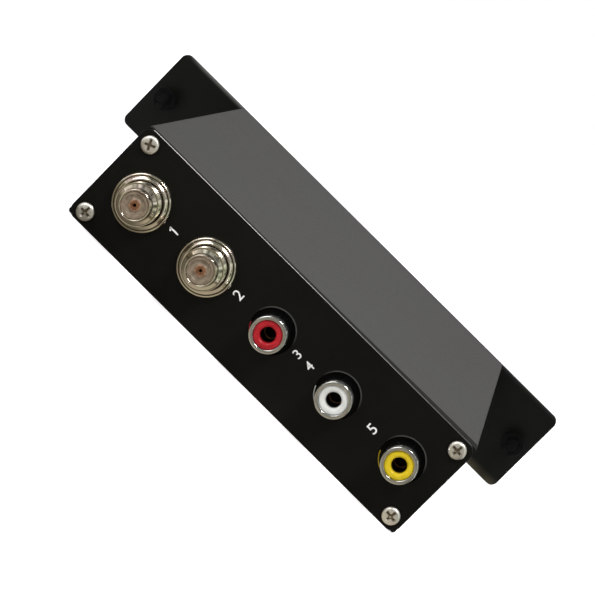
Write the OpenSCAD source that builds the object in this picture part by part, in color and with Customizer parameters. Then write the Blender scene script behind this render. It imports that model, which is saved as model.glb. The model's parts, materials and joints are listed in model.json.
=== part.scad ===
// Slim rack-mounting modulator module. The connector panel faces -Y, the faceplate faces +Y, +Z is up.
// The origin is the centre of the underside of the case.

/* [Case] */
// Width of the case across the row of jacks
case_w = 100; // [92:1:130]
// Height of the case
case_h = 26; // [25:0.5:32]
// Length of the case between its two end plates
case_len = 157; // [150:1:200]
// Thickness of the extruded walls
wall_t = 1.5; // [1.2:0.1:1.8]
// Outside corner radius of the case
case_corner_r = 0.7; // [0.4:0.1:1.2]
// Depth of the tongue that keys the upper shell into the lower one
tongue_h = 1; // [0.6:0.1:1.6]
// Thickness of that tongue
tongue_t = 0.6; // [0.4:0.1:0.8]

/* [End plates] */
// Thickness of the connector panel
panel_t = 1.5; // [1.2:0.1:2]
// Corner radius of the connector panel
panel_corner_r = 2.2; // [1:0.1:2.6]
// Length of the faceplate over both ears
face_w = 143; // [130:1:170]
// Thickness of the faceplate
face_t = 2; // [1.6:0.1:3]
// Corner radius of the faceplate
face_corner_r = 2; // [1:0.1:3]

/* [Corner screws] */
// Thread diameter of the corner screws
screw_d = 2.5; // [2:0.1:2.6]
// Length of the corner screws under the head
screw_len = 9; // [6:0.5:12]
// Diameter of the screw heads
screw_head_d = 4.2; // [3.8:0.1:4.8]
// Height of the screw heads
screw_head_h = 1.1; // [0.8:0.1:1.6]
// Distance of a corner screw from the side of the case
screw_side_inset = 3.2; // [3:0.1:3.6]
// Distance of a corner screw from the top or underside of the case
screw_edge_inset = 2.8; // [2.6:0.1:3]
// Width of the arms of the cross recess
recess_w = 0.6; // [0.4:0.1:0.8]
// Span of the cross recess
recess_span = 2.5; // [1.8:0.1:3]
// Depth of the cross recess
recess_depth = 0.6; // [0.3:0.1:0.7]

/* [Circuit board] */
// Thickness of the circuit board
board_t = 1.6; // [1.2:0.1:1.8]
// Height of the underside of the board over the floor of the case
board_lift = 4.1; // [4:0.1:4.4]
// Depth of the side grooves that hold the board
rail_depth = 2; // [1.5:0.1:2.6]
// Thickness of the rails beside those grooves
rail_t = 1; // [0.8:0.1:1.4]

/* [Jack row] */
// Distance of the outer jacks from the sides of the case
jack_side_inset = 10.4; // [9:0.1:12]
// Distance that the jacks reach back before the board begins
board_set_back = 4.5; // [4:0.1:5.5]
// Shift of the row from the middle of the panel
jack_row_shift = 0.27; // [-0.5:0.01:0.5]

/* [Threaded jacks] */
// Thread diameter of the threaded jacks
thread_d = 9.5; // [9:0.1:9.8]
// Reach of the thread in front of the connector panel
thread_len = 7.4; // [6:0.1:9]
// Length of the shoulder between the thread and the nose
shoulder_len = 0.9; // [0.5:0.1:1.2]
// Diameter of the nose
nose_d = 7; // [6.8:0.1:8]
// Length of the nose in front of the shoulder
nose_len = 2.2; // [1:0.1:3]
// Diameter of the insulator in the nose
insulator_d = 5.8; // [5:0.1:6]
// Diameter of the round nut
nut_d = 13.6; // [12.6:0.1:15]
// Thickness of the round nut
nut_t = 1.8; // [1.4:0.1:2.4]
// Diameter of the raised hub of the nut
nut_hub_d = 11; // [10.4:0.1:11.4]
// Height of that hub over the nut
nut_hub_h = 0.5; // [0.3:0.1:0.9]
// Thickness of the lock washers
lock_washer_t = 0.5; // [0.3:0.1:0.8]
// Width and height of the block that stands on the end of the board
jack_block_w = 11; // [10.4:0.1:11.2]
// Depth of that block
jack_block_depth = 8; // [6:0.1:10]

/* [Phono jacks] */
// Outside diameter of the metal shell
shell_d = 8.35; // [8:0.05:8.6]
// Inside diameter of the metal shell
shell_bore_d = 6.5; // [6.2:0.1:6.8]
// Reach of the shell in front of the connector panel
shell_len = 7.8; // [6:0.1:10]
// Depth to which the shell is set into the housing
shell_root = 3; // [2:0.1:4]
// Diameter of the socket in the coloured core
socket_d = 3.5; // [3.3:0.1:3.8]
// Width of the coloured housing
housing_w = 10.6; // [10.4:0.1:11.2]
// Depth of the coloured housing
housing_depth = 10; // [8:0.1:14]
// Diameter of the hole in the panel round each phono jack
phono_hole_d = 10.4; // [10:0.1:11]
// Angle of the locating rib round the jack
rib_angle = 222; // [180:1:270]
// Angle that the locating rib takes up
rib_spread = 44; // [20:1:70]

/* [Trimmers] */
// Width of a trimmer
trim_w = 9.5; // [8:0.1:10]
// Depth of a trimmer
trim_depth = 5; // [4:0.1:7]
// Diameter of the turning disc
rotor_d = 6; // [5:0.1:7]
// Thickness of the turning disc
rotor_t = 1.4; // [1:0.1:2]
// Diameter of the slotted stub that shows in the faceplate
stub_d = 3.6; // [3:0.1:4]
// Width of the screwdriver slot in the stub
stub_slot_w = 0.7; // [0.5:0.1:1]
// Depth of that slot
stub_slot_depth = 0.9; // [0.5:0.1:1.2]

/* [Channel switch] */
// Distance of the switch from the side of the case
switch_side_inset = 8; // [7:0.5:12]
// Distance between neighbouring levers
lever_pitch = 2.54; // [2.5:0.01:3]
// Depth of the switch body
switch_depth = 8; // [6:0.1:10]
// Height of the switch body over the middle of the levers
switch_top = 4; // [3.6:0.1:5]
// Width of the slot of a lever
lever_slot_w = 1.5; // [1.3:0.1:1.7]
// Height of the slot of a lever
lever_slot_h = 4.4; // [4:0.1:5]
// Height of a lever
lever_h = 2.2; // [1.8:0.1:2.6]
// Reach of a lever in front of the switch body
lever_reach = 1.3; // [0.8:0.1:1.8]
// Depth of the foot of a lever
foot_depth = 1.2; // [0.8:0.1:1.6]

/* [Indicator] */
// Distance of the lamp from the side of the case
lamp_side_inset = 9.5; // [8.5:0.5:12]
// Diameter of the indicator lamp
lamp_d = 3; // [2.6:0.1:3.6]
// Reach of the lamp in front of the faceplate
lamp_reach = 1.8; // [1.6:0.1:3]

/* [Thumbscrews] */
// Distance of a thumbscrew from the end of the faceplate
thumb_inset = 5; // [4.5:0.1:6]
// Thread diameter of the thumbscrews
thumb_thread_d = 3; // [2.6:0.1:3.4]
// Reach of the thread behind the faceplate
thumb_reach = 10; // [8:0.5:13]
// Diameter of the knurled head
thumb_head_d = 8; // [7:0.1:9]
// Length of the knurled head
thumb_head_len = 7; // [5:0.1:9]
// Number of grooves round the head
knurl_count = 28; // [16:1:36]
// Diameter of one groove
knurl_groove_d = 0.6; // [0.4:0.1:0.7]
// Distance that a loosened thumbscrew pulls out
thumb_travel = 4; // [3:0.1:5]
// Thickness of the retaining clip
clip_t = 1; // [0.8:0.1:1.4]
// Outside diameter of the retaining clip
clip_d = 6.4; // [5.6:0.1:7]

/* [Shield can] */
// Width of the strip of board on the power side of the shield can
power_strip_w = 16.2; // [15:0.1:18]
// Width of the strip of board on its other side
control_strip_w = 24.3; // [20:0.1:26]
// Length of the shield can
can_len = 60; // [54:1:64]
// Height of the shield can
can_h = 9; // [7:0.5:11]
// Thickness of its sheet metal
can_t = 0.5; // [0.4:0.1:0.8]
// Depth of the skirt of its lid
lid_skirt = 2.4; // [1.6:0.1:3.4]

/* [Board parts] */
// Side of the modulator chip
chip_w = 10; // [8:0.5:12]
// Height of the chips
chip_h = 1.5; // [1.2:0.1:2]
// Distance between neighbouring chip legs
leg_pitch = 1.27; // [1.2:0.01:1.4]
// Diameter of the large capacitor cans
capacitor_d = 8; // [6:0.1:9]
// Height of the large capacitor cans
capacitor_h = 11.5; // [8:0.1:13]
// Side of the power inductor
inductor_w = 12; // [9:0.1:13]
// Height of the power inductor
inductor_h = 6; // [4:0.1:8]
// Length of the quartz crystal can
crystal_len = 11; // [9:0.1:12]
// Height of the quartz crystal can
crystal_h = 3.6; // [3:0.1:5]

/* [Hidden] */
$fn = 64;

// Clearances
cut = 1;                 // overrun of a cut past the face that it opens
press_gap = 0.02;        // round a piece that is pressed into its seat
seat_gap = 0.05;         // between pieces that slide together when assembled
thread_gap = 0.05;       // round a screw thread in its hole
screw_hole_gap = 0.15;   // round a screw in a plate
board_gap = 0.25;        // between the board and the walls or the end plates
groove_gap = 0.15;       // over the board in its groove
turn_gap = 0.15;         // round a part that turns or slides
thumb_seat_gap = 0.2;    // under the head of a thumbscrew
control_set_back = 0.3;  // from the faceplate to a control behind it

// Case and its inside
inner_w = case_w - 2 * wall_t;
inner_h = case_h - 2 * wall_t;
mid_z = case_h / 2;
back_y = -case_len / 2;
panel_y = back_y - panel_t;
front_y = case_len / 2;
face_y = front_y + face_t;

// Corner screws and the ports that they turn into
screw_r = screw_d / 2;
screw_x = case_w / 2 - screw_side_inset;
screw_z = case_h / 2 - screw_edge_inset;
screw_hole_r = screw_r + screw_hole_gap;
port_wall = 1.1;
port_bore_r = screw_r + thread_gap;
port_r = port_bore_r + port_wall;
port_slot_w = 1.2;
screw_turns = [18, 64, -12, 40];
screw_dome_steps = 5;

// Circuit board
board_w = inner_w - 2 * board_gap;
board_back_y = back_y + board_set_back;
board_len = front_y - board_gap - board_back_y;
board_mid_y = board_back_y + board_len / 2;
board_z = wall_t + board_lift;
board_top = board_z + board_t;

// Jack row, numbered from the left as seen from outside the connector panel
jack_count = 5;
jack_pitch = (case_w - 2 * jack_side_inset) / (jack_count - 1);
function jack_x(i) = jack_row_shift + (i - (jack_count - 1) / 2) * jack_pitch;
jack_height = mid_z - board_top;
tail_w = 0.8;
tail_t = 0.5;
tail_reach = 1.2;

// Threaded jacks
thread_r = thread_d / 2;
thread_hole_r = thread_r + screw_hole_gap;
nose_r = nose_d / 2;
nose_chamfer = 0.3;
jack_reach = thread_len + shoulder_len + nose_len;
insulator_r = insulator_d / 2;
insulator_recess = 0.3;
contact_bore_d = 1;
contact_wall = 0.35;
contact_r = contact_bore_d / 2 + contact_wall;
nut_bevel = 0.7;
nut_groove_w = 0.35;
nut_groove_depth = 0.4;
nut_top = nut_t + nut_hub_h;
run_out_w = 1;
run_out_depth = 0.35;
lock_washer_r = thread_r + 1.2;

// Phono jacks
shell_r = shell_d / 2;
shell_bore_r = shell_bore_d / 2;
shell_root_r = shell_bore_r + 0.5;
shoulder_set_off = 0.3;
shell_rim_r = 0.35;
core_r = shell_bore_r - seat_gap;
core_recess = 0.35;
socket_r = socket_d / 2;
socket_flare = 0.3;
phono_hole_r = phono_hole_d / 2;
collar_recess = 0.5;
collar_bore_r = shell_root_r + seat_gap;
collar_r = phono_hole_r - seat_gap;
rib_recess = 0.35;
fork_seat_r = socket_r + 0.25;
fork_wall = 0.5;
fork_depth = 8;
fork_set_back = 0.3;

// Front controls
trim_count = 3;
trim_face_y = front_y - control_set_back;
trim_body_top = trim_w / 2;
stub_recess = 0.25;
stub_hole_r = stub_d / 2 + 2 * turn_gap;
lever_count = 8;
lever_w = lever_slot_w - 2 * turn_gap;
foot_w = lever_w + 0.5;
foot_h = lever_h + 0.8;
switch_face_t = 0.8;
switch_side_t = 1.2;
switch_w = lever_count * lever_pitch + 2 * switch_side_t;
switch_x = case_w / 2 - switch_side_inset - switch_w / 2;
lever_travel = lever_slot_h - lever_h - 2 * turn_gap;
window_w = switch_w - switch_side_t;
window_h = lever_slot_h + 1.6;

// Indicator
lamp_x = lamp_side_inset - case_w / 2;
lamp_r = lamp_d / 2;
lamp_flange_r = lamp_r + 0.4;
lamp_flange_t = 1;
lamp_hole_r = lamp_r + screw_hole_gap;
lead_w = 0.5;
lead_pitch = 2.54;
spacer_w = 5;
spacer_depth = 4.5;
lead_gap = 0.1;

// Thumbscrews
thumb_x = face_w / 2 - thumb_inset;
thumb_r = thumb_thread_d / 2;
thumb_hole_r = thumb_r + 0.2;
thumb_neck_r = thumb_r - 0.4;
thumb_head_r = thumb_head_d / 2;
thumb_chamfer = 0.6;
thumb_slot_w = 1.2;
thumb_slot_depth = 1.4;
thumb_point = 0.5;
clip_gap = 0.08;
clip_mouth_w = 1.8;
clip_back = thumb_travel + turn_gap;

// Shield can
can_w = board_w - power_strip_w - control_strip_w;
can_x = (power_strip_w - control_strip_w) / 2;
can_y_share = -0.03;
can_y = board_mid_y + can_y_share * board_len;
can_wall_share = 0.42;
lid_gap = 0.1;
lid_hole_d = 4.5;
lid_hole_shares = [[-0.3, -0.32], [0.28, -0.32], [-0.3, 0.05], [0.05, 0.3], [0.32, 0.3]];

// Other parts on the board, placed along its two open strips and its two ends
power_x = (power_strip_w - board_w) / 2;
control_x = (board_w - control_strip_w) / 2;
function along_board(share) = board_mid_y + share * board_len;
leg_w = 0.4;
leg_t = 0.2;
leg_reach = 1;
chip_standoff = 0.1;
controller_share = 0.06;
controller_w = 7.5;
controller_legs = 10;
modulator_legs = 7;
saw_len = 13;
saw_w = 5;
saw_h = 4;
saw_rim = 0.6;
saw_rim_h = 0.6;
crystal_share = 0.21;
crystal_w = 4.6;
crystal_rim = 0.4;
crystal_rim_h = 0.5;
regulator_share = -0.2;
regulator_w = 6.5;
regulator_len = 6.1;
regulator_h = 2.3;
regulator_tab = 1.2;
regulator_tab_t = 0.5;
inductor_share = -0.055;
inductor_corner = 2;
inductor_cap_t = 1.2;
capacitor_bead = 0.35;
capacitor_bead_z = 1.6;
capacitor_shares = [0.08, 0.16, 0.24];
control_capacitor_share = -0.11;
chip_part_size = [2, 1.25, 0.6];
back_row_share = -0.35;
back_row_shares = [-0.42, -0.37, -0.23, -0.17, 0, 0.06, 0.21, 0.27, 0.37, 0.43];
front_row_share = 0.38;
front_row_shares = [-0.33, -0.21, -0.08, 0.1, 0.19, 0.27];
strip_part_offset = 2.6;
strip_part_shares = [-0.26, -0.22];

// Outlines and placing

module rounded_rect(w, h, r) {
    square([w - 2 * r, h], center = true);
    square([w, h - 2 * r], center = true);
    for (sx = [-1, 1], sz = [-1, 1])
        translate([sx * (w / 2 - r), sz * (h / 2 - r)]) circle(r);
}

// Extrudes an outline drawn in X and Z from front_edge towards -Y
module bar_y(front_edge, length) {
    translate([0, front_edge, 0]) rotate([90, 0, 0]) linear_extrude(length) children();
}

// Turns +Z of the child to -Y, out of the connector panel
module facing_back(x, y) {
    translate([x, y, mid_z]) rotate([90, 0, 0]) children();
}

// Turns +Z of the child to +Y, out of the faceplate
module facing_front(x, y) {
    translate([x, y, mid_z]) rotate([-90, 0, 0]) children();
}

module at_screws() {
    for (sx = [-1, 1], sz = [-1, 1]) translate([sx * screw_x, sz * screw_z]) children();
}

module ring(outer_r, inner_r, length) {
    difference() {
        cylinder(r = outer_r, h = length);
        translate([0, 0, -cut]) cylinder(r = inner_r, h = length + 2 * cut);
    }
}

// A block that stands on the circuit board
module board_block(x, y, size) {
    translate([x - size[0] / 2, y - size[1] / 2, board_top]) cube(size);
}

// Case

module port_outline() {
    for (sx = [-1, 1], sz = [-1, 1]) translate([sx * screw_x, sz * screw_z]) circle(port_r);
}

module port_cuts() {
    at_screws() circle(port_bore_r);
    for (sx = [-1, 1], sz = [-1, 1])
        translate([sx * (screw_x - port_r), sz * screw_z])
            square([2 * port_r, port_slot_w], center = true);
}

module case_outline() {
    difference() {
        union() {
            difference() {
                rounded_rect(case_w, case_h, case_corner_r);
                square([inner_w, inner_h], center = true);
            }
            port_outline();
        }
        port_cuts();
    }
}

module half_plane(side) {
    translate([0, side * case_h / 2]) square([case_w + cut, case_h], center = true);
}

module upper_outline() {
    intersection() {
        case_outline();
        half_plane(1);
    }
    for (sx = [-1, 1])
        translate([sx * (inner_w + tongue_t) / 2, 0]) square([tongue_t, 2 * tongue_h], center = true);
}

module tongue_groove() {
    for (sx = [-1, 1])
        translate([sx * (inner_w + tongue_t) / 2, 0])
            square([tongue_t + 2 * seat_gap, 2 * (tongue_h + seat_gap)], center = true);
}

module rail_outline(low_z) {
    for (sx = [-1, 1])
        translate([sx * (inner_w - rail_depth + wall_t) / 2, low_z + rail_t / 2 - mid_z])
            square([rail_depth + wall_t, rail_t], center = true);
}

module lower_outline() {
    difference() {
        union() {
            intersection() {
                case_outline();
                half_plane(-1);
            }
            rail_outline(board_z - rail_t);
            rail_outline(board_top + groove_gap);
        }
        tongue_groove();
        port_cuts();
    }
}

module upper_case_shell() color([0.16, 0.16, 0.16])
    translate([0, 0, mid_z]) bar_y(front_y, case_len) upper_outline();

module lower_case_shell() color([0.14, 0.14, 0.14])
    translate([0, 0, mid_z]) bar_y(front_y, case_len) lower_outline();

// End plates and their screws

module connector_panel() color([0.1, 0.1, 0.09])
    translate([0, 0, mid_z]) bar_y(back_y, panel_t)
        difference() {
            rounded_rect(case_w, case_h, panel_corner_r);
            at_screws() circle(screw_hole_r);
            for (i = [0, 1]) translate([jack_x(i), 0]) circle(thread_hole_r);
            for (i = [2:jack_count - 1]) translate([jack_x(i), 0]) circle(phono_hole_r);
        }

module faceplate() color([0.09, 0.1, 0.08])
    translate([0, 0, mid_z]) bar_y(face_y, face_t)
        difference() {
            rounded_rect(face_w, case_h, face_corner_r);
            at_screws() circle(screw_hole_r);
            for (sx = [-1, 1]) translate([sx * thumb_x, 0]) circle(thumb_hole_r);
            for (i = [0:trim_count - 1]) translate([trimmer_x(i), 0]) circle(stub_hole_r);
            translate([lamp_x, 0]) circle(lamp_hole_r);
            translate([switch_x, 0]) square([window_w, window_h], center = true);
        }

function dome_point(t, r, low, high) = [r * cos(90 * t), low + (high - low) * sin(90 * t)];

// A round-headed screw whose head sits on Z = 0 and points up
module corner_screw(turn) {
    edge_h = screw_head_h / 3;
    head_r = screw_head_d / 2;
    difference() {
        rotate_extrude()
            polygon(concat([[0, 0], [head_r, 0]],
                [for (i = [0:screw_dome_steps])
                    dome_point(i / screw_dome_steps, head_r, edge_h, screw_head_h)]));
        for (side = [0, 90])
            rotate([0, 0, turn + side])
                translate([0, 0, screw_head_h])
                    cube([recess_span, recess_w, 2 * recess_depth], center = true);
    }
    translate([0, 0, -screw_len]) cylinder(r = screw_r, h = screw_len);
}

module connector_panel_screws() color([0.8, 0.78, 0.7])
    for (i = [0:3])
        facing_back((i % 2 * 2 - 1) * screw_x, panel_y)
            translate([0, (floor(i / 2) * 2 - 1) * screw_z, 0]) corner_screw(screw_turns[i]);

module faceplate_screws() color([0.12, 0.12, 0.12])
    for (i = [0:3])
        facing_front((i % 2 * 2 - 1) * screw_x, face_y)
            translate([0, (floor(i / 2) * 2 - 1) * screw_z, 0]) corner_screw(screw_turns[3 - i]);

module main_board() color([0.07, 0.32, 0.18])
    translate([-board_w / 2, board_back_y, board_z]) cube([board_w, board_len, board_t]);

// Block of a jack: square in front of the board, and behind that with a foot that stands on the board
module jack_block(x, width, block_y, depth) {
    foot_y = board_back_y + board_gap;
    translate([x - width / 2, block_y, mid_z - width / 2]) cube([width, foot_y - block_y, width]);
    translate([x - width / 2, foot_y, board_top])
        cube([width, block_y + depth - foot_y, jack_height + width / 2]);
}

// Threaded jacks

// Strip that runs down from a contact behind its block to the board
module contact_tail(x, block_back_y) {
    tail_y = block_back_y + tail_reach;
    translate([x - tail_w / 2, tail_y - tail_t, board_top]) cube([tail_w, tail_t, jack_height]);
}

module threaded_barrel(i) color([0.76, 0.73, 0.66]) {
    block_y = back_y + lock_washer_t;
    root = panel_t + lock_washer_t;
    barrel_root = board_set_back - lock_washer_t;
    difference() {
        union() {
            facing_back(jack_x(i), block_y)
                rotate_extrude()
                    polygon([
                        [0, -barrel_root], [thread_r, -barrel_root],
                        [thread_r, root + nut_top], [thread_r - run_out_depth, root + nut_top],
                        [thread_r - run_out_depth, root + nut_top + run_out_w],
                        [thread_r, root + nut_top + run_out_w],
                        [thread_r, root + thread_len], [nose_r, root + thread_len + shoulder_len],
                        [nose_r, root + jack_reach - nose_chamfer],
                        [nose_r - nose_chamfer, root + jack_reach], [0, root + jack_reach]
                    ]);
            jack_block(jack_x(i), jack_block_w, block_y, jack_block_depth);
        }
        facing_back(jack_x(i), block_y)
            translate([0, 0, -jack_block_depth - cut])
                cylinder(r = insulator_r, h = jack_block_depth + root + jack_reach + 2 * cut);
    }
}

module round_nut(i) color([0.76, 0.73, 0.66]) {
    nut_r = nut_d / 2;
    hub_r = nut_hub_d / 2;
    facing_back(jack_x(i), panel_y)
        rotate_extrude()
            polygon([
                [thread_r + thread_gap, 0], [nut_r, 0], [nut_r, nut_t - nut_bevel],
                [nut_r - nut_bevel / 2, nut_t - nut_bevel / 4], [nut_r - nut_bevel, nut_t],
                [hub_r + nut_groove_w, nut_t - nut_groove_depth], [hub_r, nut_t - nut_groove_depth],
                [hub_r, nut_top - nut_hub_h / 2], [hub_r - nut_hub_h / 2, nut_top],
                [thread_r + thread_gap, nut_top]
            ]);
}

module insulator(i) color([0.62, 0.55, 0.47])
    facing_back(jack_x(i), panel_y)
        translate([0, 0, -panel_t - lock_washer_t - jack_block_depth])
            ring(insulator_r - press_gap, contact_r + press_gap,
                jack_reach - insulator_recess + panel_t + lock_washer_t + jack_block_depth);

module centre_contact(i) color([0.8, 0.45, 0.25]) {
    block_back_y = back_y + lock_washer_t + jack_block_depth;
    behind = block_back_y + tail_reach - panel_y;
    difference() {
        union() {
            facing_back(jack_x(i), panel_y)
                translate([0, 0, -behind])
                    cylinder(r = contact_r, h = behind + jack_reach - insulator_recess);
            contact_tail(jack_x(i), block_back_y);
        }
        facing_back(jack_x(i), panel_y)
            cylinder(d = contact_bore_d, h = jack_reach + cut);
    }
}

module rf_jack_barrel() threaded_barrel(0);
module rf_jack_nut() round_nut(0);
module rf_jack_insulator() insulator(0);
module rf_jack_contact() centre_contact(0);
module power_jack_barrel() threaded_barrel(1);
module power_jack_nut() round_nut(1);
module power_jack_insulator() insulator(1);
module power_jack_contact() centre_contact(1);

module lock_washers() color([0.7, 0.7, 0.68])
    for (i = [0, 1])
        facing_back(jack_x(i), back_y + lock_washer_t)
            ring(lock_washer_r, thread_hole_r, lock_washer_t);

// Phono jacks

// Sector of a ring, for the locating rib and the gap that clears it
module rib_sector(outer_r, inner_r, spread, length) {
    far = 2 * outer_r;
    linear_extrude(length)
        intersection() {
            difference() {
                circle(outer_r);
                circle(inner_r);
            }
            rotate([0, 0, rib_angle])
                polygon([[0, 0], [far * cos(spread / 2), -far * sin(spread / 2)],
                    [far * cos(spread / 2), far * sin(spread / 2)]]);
        }
}

module phono_housing(i, tint) color(tint) {
    reach = shell_len + panel_t - core_recess;
    difference() {
        union() {
            difference() {
                jack_block(jack_x(i), housing_w, back_y, housing_depth);
                facing_back(jack_x(i), back_y)
                    translate([0, 0, -shell_root - seat_gap])
                        ring(collar_bore_r, core_r, shell_root + seat_gap + cut);
            }
            facing_back(jack_x(i), back_y)
                translate([0, 0, -shell_root - cut]) cylinder(r = core_r, h = reach + shell_root + cut);
            facing_back(jack_x(i), back_y)
                rib_sector(collar_r, shell_r + seat_gap, rib_spread, panel_t - rib_recess);
        }
        facing_back(jack_x(i), back_y)
            translate([0, 0, reach - fork_depth]) cylinder(r = socket_r, h = fork_depth + cut);
        facing_back(jack_x(i), back_y)
            translate([0, 0, -housing_depth - cut])
                cylinder(r = fork_seat_r, h = reach - fork_depth + housing_depth + cut);
        facing_back(jack_x(i), back_y)
            translate([0, 0, reach - socket_flare])
                cylinder(r1 = socket_r, r2 = socket_r + 2 * socket_flare, h = 2 * socket_flare);
    }
}

module phono_shell(i) color([0.78, 0.76, 0.72]) {
    shoulder = panel_t - collar_recess + shoulder_set_off;
    facing_back(jack_x(i), back_y)
        rotate_extrude()
            polygon([
                [shell_bore_r, -shell_root], [shell_root_r, -shell_root],
                [shell_root_r, shoulder], [shell_r, shoulder],
                [shell_r, shell_len + panel_t - shell_rim_r],
                [shell_r - shell_rim_r * (1 - sin(45)), shell_len + panel_t - shell_rim_r * (1 - sin(45))],
                [shell_r - shell_rim_r, shell_len + panel_t],
                [shell_bore_r, shell_len + panel_t]
            ]);
}

module phono_contact(i) color([0.8, 0.62, 0.3]) {
    block_back_y = back_y + housing_depth;
    fork_r = fork_seat_r - press_gap;
    fork_front = panel_t + shell_len - core_recess - fork_depth - fork_set_back;
    fork_len = housing_depth + tail_reach + fork_front;
    facing_back(jack_x(i), block_back_y + tail_reach)
        ring(fork_r, fork_r - fork_wall, fork_len);
    difference() {
        contact_tail(jack_x(i), block_back_y);
        facing_back(jack_x(i), block_back_y + tail_reach + cut)
            cylinder(r = fork_r, h = tail_t + 2 * cut);
    }
}

module red_jack_housing() phono_housing(2, [0.7, 0.1, 0.12]);
module red_jack_shell() phono_shell(2);
module red_jack_contact() phono_contact(2);
module white_jack_housing() phono_housing(3, [0.88, 0.88, 0.84]);
module white_jack_shell() phono_shell(3);
module white_jack_contact() phono_contact(3);
module yellow_jack_housing() phono_housing(4, [0.85, 0.7, 0.1]);
module yellow_jack_shell() phono_shell(4);
module yellow_jack_contact() phono_contact(4);

module jack_collars() color([0.06, 0.06, 0.06])
    for (i = [2:jack_count - 1])
        facing_back(jack_x(i), back_y)
            difference() {
                ring(collar_r, collar_bore_r, panel_t - collar_recess);
                translate([0, 0, -cut])
                    rib_sector(collar_r + cut, collar_bore_r - cut,
                        rib_spread + 4, panel_t + 2 * cut);
            }

// Parts on the board

module shield_frame() color([0.72, 0.72, 0.7]) {
    inside = [can_w - 2 * can_t, can_len - 2 * can_t, can_h + 2 * cut];
    difference() {
        board_block(can_x, can_y, [can_w, can_len, can_h]);
        translate([can_x - inside[0] / 2, can_y - inside[1] / 2, board_top - cut]) cube(inside);
    }
    translate([can_x - can_w / 2, can_y - can_len / 2 + can_len * can_wall_share, board_top])
        cube([can_w, can_t, can_h]);
}

module shield_lid() color([0.75, 0.75, 0.73]) {
    lid_w = can_w + 2 * (can_t + lid_gap);
    lid_len = can_len + 2 * (can_t + lid_gap);
    lid_top = board_top + can_h + can_t;
    difference() {
        translate([can_x - lid_w / 2, can_y - lid_len / 2, lid_top - can_t - lid_skirt])
            cube([lid_w, lid_len, can_t + lid_skirt]);
        translate([can_x - lid_w / 2 + can_t, can_y - lid_len / 2 + can_t, lid_top - can_t - lid_skirt - cut])
            cube([lid_w - 2 * can_t, lid_len - 2 * can_t, lid_skirt + cut]);
        for (share = lid_hole_shares)
            translate([can_x + share[0] * can_w, can_y + share[1] * can_len, lid_top - can_t - cut])
                cylinder(d = lid_hole_d, h = can_t + 2 * cut);
    }
}

// A bent leg that leaves a chip towards +X and stands on the board
module gull_leg(body_h) {
    rise = body_h / 2;
    translate([0, leg_w / 2, 0]) rotate([90, 0, 0])
        linear_extrude(leg_w)
            polygon([
                [0, rise], [leg_reach / 2, rise], [leg_reach / 2, leg_t], [leg_reach, leg_t],
                [leg_reach, 0], [leg_reach / 2 - leg_t, 0], [leg_reach / 2 - leg_t, rise - leg_t],
                [0, rise - leg_t]
            ]);
}

// A row of legs along one side of a chip that is size wide in that direction
module leg_row(count, half_width, turn, body_h) {
    rotate([0, 0, turn])
        for (i = [0:count - 1])
            translate([half_width, (i - (count - 1) / 2) * leg_pitch, 0]) gull_leg(body_h);
}

module modulator_chip() color([0.1, 0.1, 0.1])
    translate([can_x, can_y + can_len / 4, board_top]) {
        translate([-chip_w / 2, -chip_w / 2, chip_standoff]) cube([chip_w, chip_w, chip_h]);
        intersection() {
            for (turn = [0:90:270]) leg_row(modulator_legs, chip_w / 2, turn, chip_h);
            translate([-chip_w, -chip_w, 0]) cube([2 * chip_w, 2 * chip_w, chip_h]);
        }
    }

module controller_chip() color([0.1, 0.1, 0.1])
    translate([control_x, along_board(controller_share), board_top]) {
        chip_len = controller_legs * leg_pitch;
        translate([-controller_w / 2, -chip_len / 2, chip_standoff]) cube([controller_w, chip_len, chip_h]);
        for (turn = [0, 180]) leg_row(controller_legs, controller_w / 2, turn, chip_h);
    }

module oval(length, width, height) {
    linear_extrude(height) {
        square([length - width, width], center = true);
        for (side = [-1, 1]) translate([side * (length - width) / 2, 0]) circle(width / 2);
    }
}

module saw_filter() color([0.7, 0.68, 0.62])
    translate([can_x + can_w / 5, can_y - can_len / 5, board_top]) {
        oval(saw_len, saw_w, saw_rim_h);
        oval(saw_len - 2 * saw_rim, saw_w - 2 * saw_rim, saw_h);
    }

module quartz_crystal() color([0.75, 0.75, 0.72])
    translate([control_x, along_board(crystal_share), board_top]) {
        oval(crystal_len, crystal_w, crystal_rim_h);
        oval(crystal_len - 2 * crystal_rim, crystal_w - 2 * crystal_rim, crystal_h);
    }

module voltage_regulator() color([0.12, 0.12, 0.12]) {
    y = along_board(regulator_share);
    board_block(power_x, y, [regulator_w, regulator_len, regulator_h]);
    board_block(power_x, y + (regulator_len + regulator_tab) / 2,
        [regulator_w - regulator_tab, regulator_tab, regulator_tab_t]);
    for (side = [-1, 1])
        translate([power_x + side * regulator_w / 3, y - regulator_len / 2, board_top])
            rotate([0, 0, -90]) gull_leg(regulator_h);
}

module power_inductor() color([0.2, 0.2, 0.2])
    translate([power_x, along_board(inductor_share), board_top]) {
        cap = inductor_cap_t;
        for (z = [0, inductor_h - cap])
            translate([0, 0, z]) linear_extrude(cap) rounded_rect(inductor_w, inductor_w, inductor_corner);
        cylinder(d = inductor_w - inductor_corner, h = inductor_h);
    }

module capacitor(x, share) {
    can_r = capacitor_d / 2;
    translate([x, along_board(share), board_top])
        rotate_extrude()
            polygon([
                [0, 0], [can_r, 0], [can_r, capacitor_bead_z - capacitor_bead],
                [can_r - capacitor_bead, capacitor_bead_z], [can_r, capacitor_bead_z + capacitor_bead],
                [can_r, capacitor_h - capacitor_bead], [can_r - capacitor_bead, capacitor_h],
                [0, capacitor_h]
            ]);
}

module electrolytic_capacitors() color([0.12, 0.12, 0.2]) {
    for (share = capacitor_shares) capacitor(power_x, share);
    capacitor(control_x, control_capacitor_share);
}

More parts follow.
